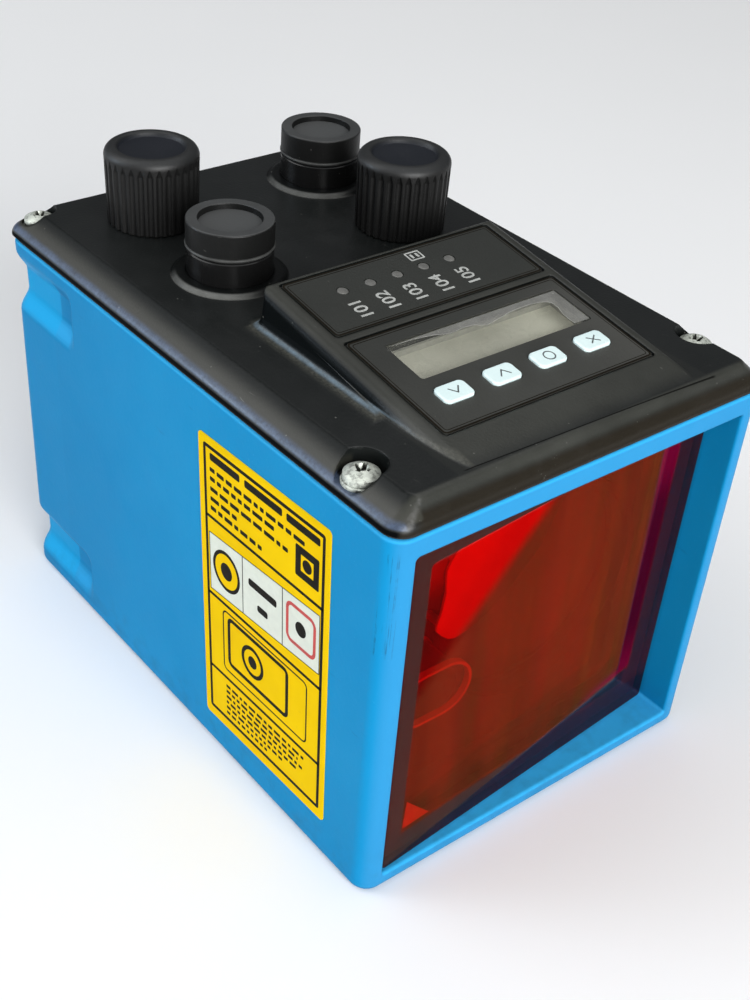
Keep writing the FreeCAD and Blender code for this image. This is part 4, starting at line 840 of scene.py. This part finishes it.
p = Print(on_label, 0.0, 0.012)
p.frame(1.25, LW - 1.15, 1.75, LH - 1.3, 0.62, 0.5)
for v in (39.4, 25.2, 10.7):
    p.bar(1.4, LW - 1.3, v - 0.27, v + 0.27)
p.bar(2.9, 10.4, 49.3, 50.55, 0.3)
p.bar(11.6, 20.6, 49.3, 50.55, 0.3)
p.bar(21.6, 29.2, 49.3, 50.55, 0.3)
for i, (b, v) in enumerate(((25.8, 47.75), (19.3, 46.2), (22.0, 44.45), (9.6, 42.75), (16.6, 41.15))):
    dashes(p, 2.8, b, v, 0.36, 3 + i, 0.9, 2.6, 0.5)
# square frame with a disc in the corner of the first field
p.frame(23.75, 29.1, 41.75, 46.95, 1.25, 0.3)
p.disc(26.42, 44.35, 1.05)
# plain frames in the third field
p.frame(5.3, 27.0, 12.3, 24.1, 0.30, 1.1)
p.frame(6.6, 22.4, 13.8, 23.4, 0.72, 1.2)
p.hoop(13.2, 18.6, 2.9, 0.7)
p.disc(13.2, 18.6, 1.1)
for i, (b, v) in enumerate(((26.4, 9.0), (25.0, 7.9), (26.6, 6.8), (24.6, 5.7), (21.0, 4.6), (17.0, 3.5))):
    dashes(p, 5.9, b, v, 0.27, 40 + i, 0.6, 1.8, 0.45)
p.finish("label_black_print", INK_BLACK, ROOT)

WHITE = [(29.5, 38.0), (2.25, 36.55), (2.3, 26.2), (29.6, 27.7)]
p = Print(on_label, 0.0, 0.010)
p.ring(WHITE)
p.finish("label_white_field", INK_WHITE, ROOT)

p = Print(on_label, 0.011, 0.020)
for (a, b), (c, d) in zip(WHITE, WHITE[1:] + WHITE[:1]):
    p.stroke((a, b), (c, d), 0.15)
p.stroke((10.9, 26.7), (10.85, 37.0), 0.18)
p.stroke((20.85, 27.25), (20.8, 37.5), 0.18)
p.hoop(6.6, 31.6, 3.55, 0.62)
p.disc(6.6, 31.6, 1.5)
p.bar(12.4, 19.4, 32.9, 34.2, 0.4)
p.bar(14.6, 17.2, 29.4, 30.6, 0.4)
p.disc(25.2, 32.8, 1.25)
p.finish("label_field_marks", INK_BLACK, ROOT)

p = Print(on_label, 0.0105, 0.016)
p.disc(6.6, 31.6, 3.3)
p.finish("label_yellow_disc", LABEL, ROOT)

p = Print(on_label, 0.011, 0.020)
p.frame(21.7, 28.75, 29.2, 36.4, 0.62, 1.4)
p.finish("label_red_frame", INK_RED, ROOT)

# ---- key marks --------------------------------------------------------------
KEY_S = 13.95
KEY_X = (-12.6, -4.0, 4.6, 13.2)
for i, x in enumerate(KEY_X):
    p = Print(on_panel, 0.361, 0.378)
    s, a, b, w = KEY_S, 0.92, 0.62, 0.21
    x += 0.2
    if i == 0:
        p.stroke((x - a, s + b), (x + 0.05, s - b), w)
        p.stroke((x - 0.05, s - b), (x + a, s + b), w)
    elif i == 1:
        p.stroke((x - a, s - b), (x + 0.05, s + b), w)
        p.stroke((x - 0.05, s + b), (x + a, s - b), w)
    elif i == 2:
        p.hoop(x, s, 0.98, 0.21)
    else:
        p.stroke((x - 0.84, s - 0.7), (x + 0.84, s + 0.7), w)
        p.stroke((x - 0.84, s + 0.7), (x + 0.84, s - 0.7), w)
    p.finish("key_mark_%d" % (i + 1), INK_KEY, "key_%d_body" % (i + 1))


# ---- numbers beside the indicator lights --------------------------------------
def panel_text(name, text, x, s, size, mat):
    """Plain digits lying on the panel, read from front to rear."""
    cu = bpy.data.curves.new(name + "_c", "FONT")
    cu.body = text
    cu.size = size * MM
    cu.align_x = "CENTER"
    cu.align_y = "CENTER"
    cu.extrude = 0.008 * MM
    cu.offset = 0.045 * MM
    tmp = bpy.data.objects.new(name + "_t", cu)
    bpy.context.scene.collection.objects.link(tmp)
    dg = bpy.context.evaluated_depsgraph_get()
    me = bpy.data.meshes.new_from_object(tmp.evaluated_get(dg))
    me.name = name
    bpy.data.objects.remove(tmp)
    bpy.data.curves.remove(cu)
    turn = Matrix.Rotation(math.radians(90), 4, "Z")
    me.transform(PANEL @ Matrix.Translation(Vector((x, s, -0.015)) * MM) @ turn)
    me.materials.clear()
    me.materials.append(mat)
    ob = bpy.data.objects.new(name, me)
    bpy.context.scene.collection.objects.link(ob)
    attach(ob, ROOT)
    return ob


LED_S = 39.7
LED_X = (-11.9, -6.9, -1.9, 3.1, 8.1)
for i, x in enumerate(LED_X):
    panel_text("indicator_number_%d" % (i + 1), "10%d" % (i + 1), x - 0.25, 34.9, 3.05, INK_GREY)
p = Print(on_panel, -0.03, -0.015)
p.frame(2.2, 4.9, 41.4, 43.5, 0.26, 0.2)
p.bar(2.85, 3.25, 41.95, 42.95)
p.bar(3.85, 4.25, 41.95, 42.95)
p.finish("indicator_mark", INK_GREY, ROOT)

# ---- dark outlines of the two overlays -----------------------------------------
p = Print(on_panel, -0.03, -0.018)
for s0, s1 in ((7.6, 29.1), (31.0, 44.5)):
    p.frame(-19.4, 19.4, s0, s1, 0.30, 0.7)
    p.frame(-18.85, 18.85, s0 + 0.55, s1 - 0.55, 0.13, 0.5)
p.finish("overlay_outline", INK_BLACK, ROOT)

# ---- foam spacer between the display and its pane --------------------------------
p = Print(on_panel, -2.54, -1.52)
p.frame(-14.65, 17.45, 18.15, 26.45, 0.4, 0.4)
p.finish("display_spacer", SPACER, ROOT)

# ---- loose film over the rear edge of the display pane -----------------------------
p = Print(on_panel, -0.158, -0.135)
wave = [(-14.3, 26.1), (-9.7, 25.9), (-6.7, 25.5), (-4.4, 24.7), (-3.1, 24.8), (-1.6, 25.0),
        (0.4, 24.75), (1.2, 24.25), (1.95, 24.0), (3.6, 24.2), (5.4, 24.55), (7.5, 24.95),
        (9.5, 25.1), (11.6, 25.05), (13.2, 24.8), (14.1, 24.5), (14.7, 23.9), (14.75, 22.6),
        (14.3, 21.1), (14.2, 19.6), (14.4, 18.5)]
p.ring(wave + [(17.2, 18.5), (17.2, 26.2), (12.0, 26.2), (6.0, 26.2), (0.0, 26.2), (-6.0, 26.2)])
p.finish("display_film", FILMCLEAR, ROOT)
p = Print(on_panel, -0.134, -0.115)
for a, b in zip(wave[1:-1], wave[2:]):
    p.stroke(a, b, 0.10)
p.finish("display_film_edge", FILMEDGE, ROOT)


# ---- sheet with a painted patch of light behind the upper left of the window, shaded sheet beside it ---
def on_front(x, z, h=0.0):
    return Vector((x, -43.2 - h, z)) * MM


p = Print(on_front, 0.0, 0.4)
p.ring([(4.0, 56.6), (-15.0, 56.6), (-16.79, 53.41), (-17.52, 52.18), (-18.30, 50.44), (-17.95, 46.39),
        (-18.33, 43.16), (-19.0, 40.9), (-18.9, 39.9), (-17.94, 38.74), (-16.46, 37.46), (-15.0, 37.0),
        (-12.0, 37.5), (-6.0, 41.0), (0.0, 47.5)])
p.h0, p.h1 = -5.0, 0.0
p.disc(-16.9, 52.0, 0.7, 20)
p.disc(-17.0, 39.6, 0.7, 20)
p.finish("inner_lit_patch", LIT_PATCH, ROOT)

p = Print(on_front, -0.7, -0.3)
p.ring([(-13.0, 56.6), (-24.5, 56.6), (-24.5, 44.9), (-21.15, 44.4), (-18.6, 43.4), (-13.0, 43.4)])
p.h0, p.h1 = -5.0, -0.7
p.disc(-23.4, 55.4, 0.7, 20)
p.disc(-23.4, 46.4, 0.7, 20)
p.finish("inner_backing", BACKING, ROOT)


# ---- dark border printed in the window sheet, small painted patch of light in its lower corner ---
WT = math.radians(4.626)


def in_window(x, z, h=0.0):
    """x along the sheet, z up, h towards the front; 0 is inside the sheet."""
    d = 1.36 - h
    return Vector((x * math.cos(WT) - d * math.sin(WT),
                   -47.65 + x * math.sin(WT) + d * math.cos(WT), z)) * MM


p = Print(in_window, -0.02, 0.0)
p.ring(rrect_points(-30.3, 30.3, 3.5, 62.1, 0.8, 6), rrect_points(-26.0, 26.2, 7.6, 58.2, 0.9, 6))
p.finish("window_border", BORDER, ROOT)
# painted patch of light in the lower corner of the window sheet
p = Print(in_window, -0.02, 0.0)
p.ring([(-20.1, 7.62), (-25.35, 13.3), (-25.7, 7.62)])
p.finish("window_patch", PATCH, ROOT)

# ----------------------------------------------------------------------------
# Floor and light
# ----------------------------------------------------------------------------
me = bpy.data.meshes.new("floor")
bm = bmesh.new()
bmesh.ops.create_grid(bm, x_segments=8, y_segments=8, size=4.0)
bm.to_mesh(me)
bm.free()
floor = bpy.data.objects.new("floor", me)
floor.location = (0, 0, -0.00002)
bpy.context.scene.collection.objects.link(floor)
fm = Mat("floor_pale", spec=0.2)
fm.color(fm.ramp(fm.noise(3.0, 3.0), [(0.3, (0.93, 0.93, 0.93)), (0.7, (0.95, 0.95, 0.95))]))
fm.rough(fm.range(fm.noise(20.0, 3.0), 0.3, 0.7, 0.75, 0.85))
me.materials.append(fm.mat)


def area(name, loc, target, size, power, color=(1, 1, 1), size_y=None):
    li = bpy.data.lights.new(name, "AREA")
    li.energy = power
    li.color = color
    li.size = size
    if size_y:
        li.shape = "RECTANGLE"
        li.size_y = size_y
    ob = bpy.data.objects.new(name, li)
    d = Vector(target) - Vector(loc)
    ob.matrix_world = Matrix.Translation(Vector(loc)) @ d.to_track_quat("-Z", "Y").to_matrix().to_4x4()
    bpy.context.scene.collection.objects.link(ob)
    return ob


area("key_light", (-0.25, -1.10, 0.42), (0, 0, 0.03), 0.8, 18.0)
area("overhead", (0.0, -0.1, 2.2), (0.0, -0.1, 0.0), 3.4, 28.0)
area("left_rear", (-0.72, 0.65, 0.86), (0, 0, 0.06), 0.9, 4.0)
area("left_fill", (-1.05, 0.0, 0.40), (0, 0, 0.03), 0.9, 0.8)
area("low_strip", (-0.85, 0.70, 0.36), (0, 0, 0.06), 0.40, 3.0, (0.72, 0.86, 1.0), size_y=0.26)

world = bpy.data.worlds.new("studio")
bpy.context.scene.world = world
world.use_nodes = True
bg = world.node_tree.nodes.get("Background") or world.node_tree.nodes.new("ShaderNodeBackground")
bg.inputs["Color"].default_value = (0.92, 0.95, 1.0, 1.0)
bg.inputs["Strength"].default_value = 0.10

vs = bpy.context.scene.view_settings
vs.view_transform = "Standard"
vs.look = "None"
vs.exposure = 0.0
vs.gamma = 1.0
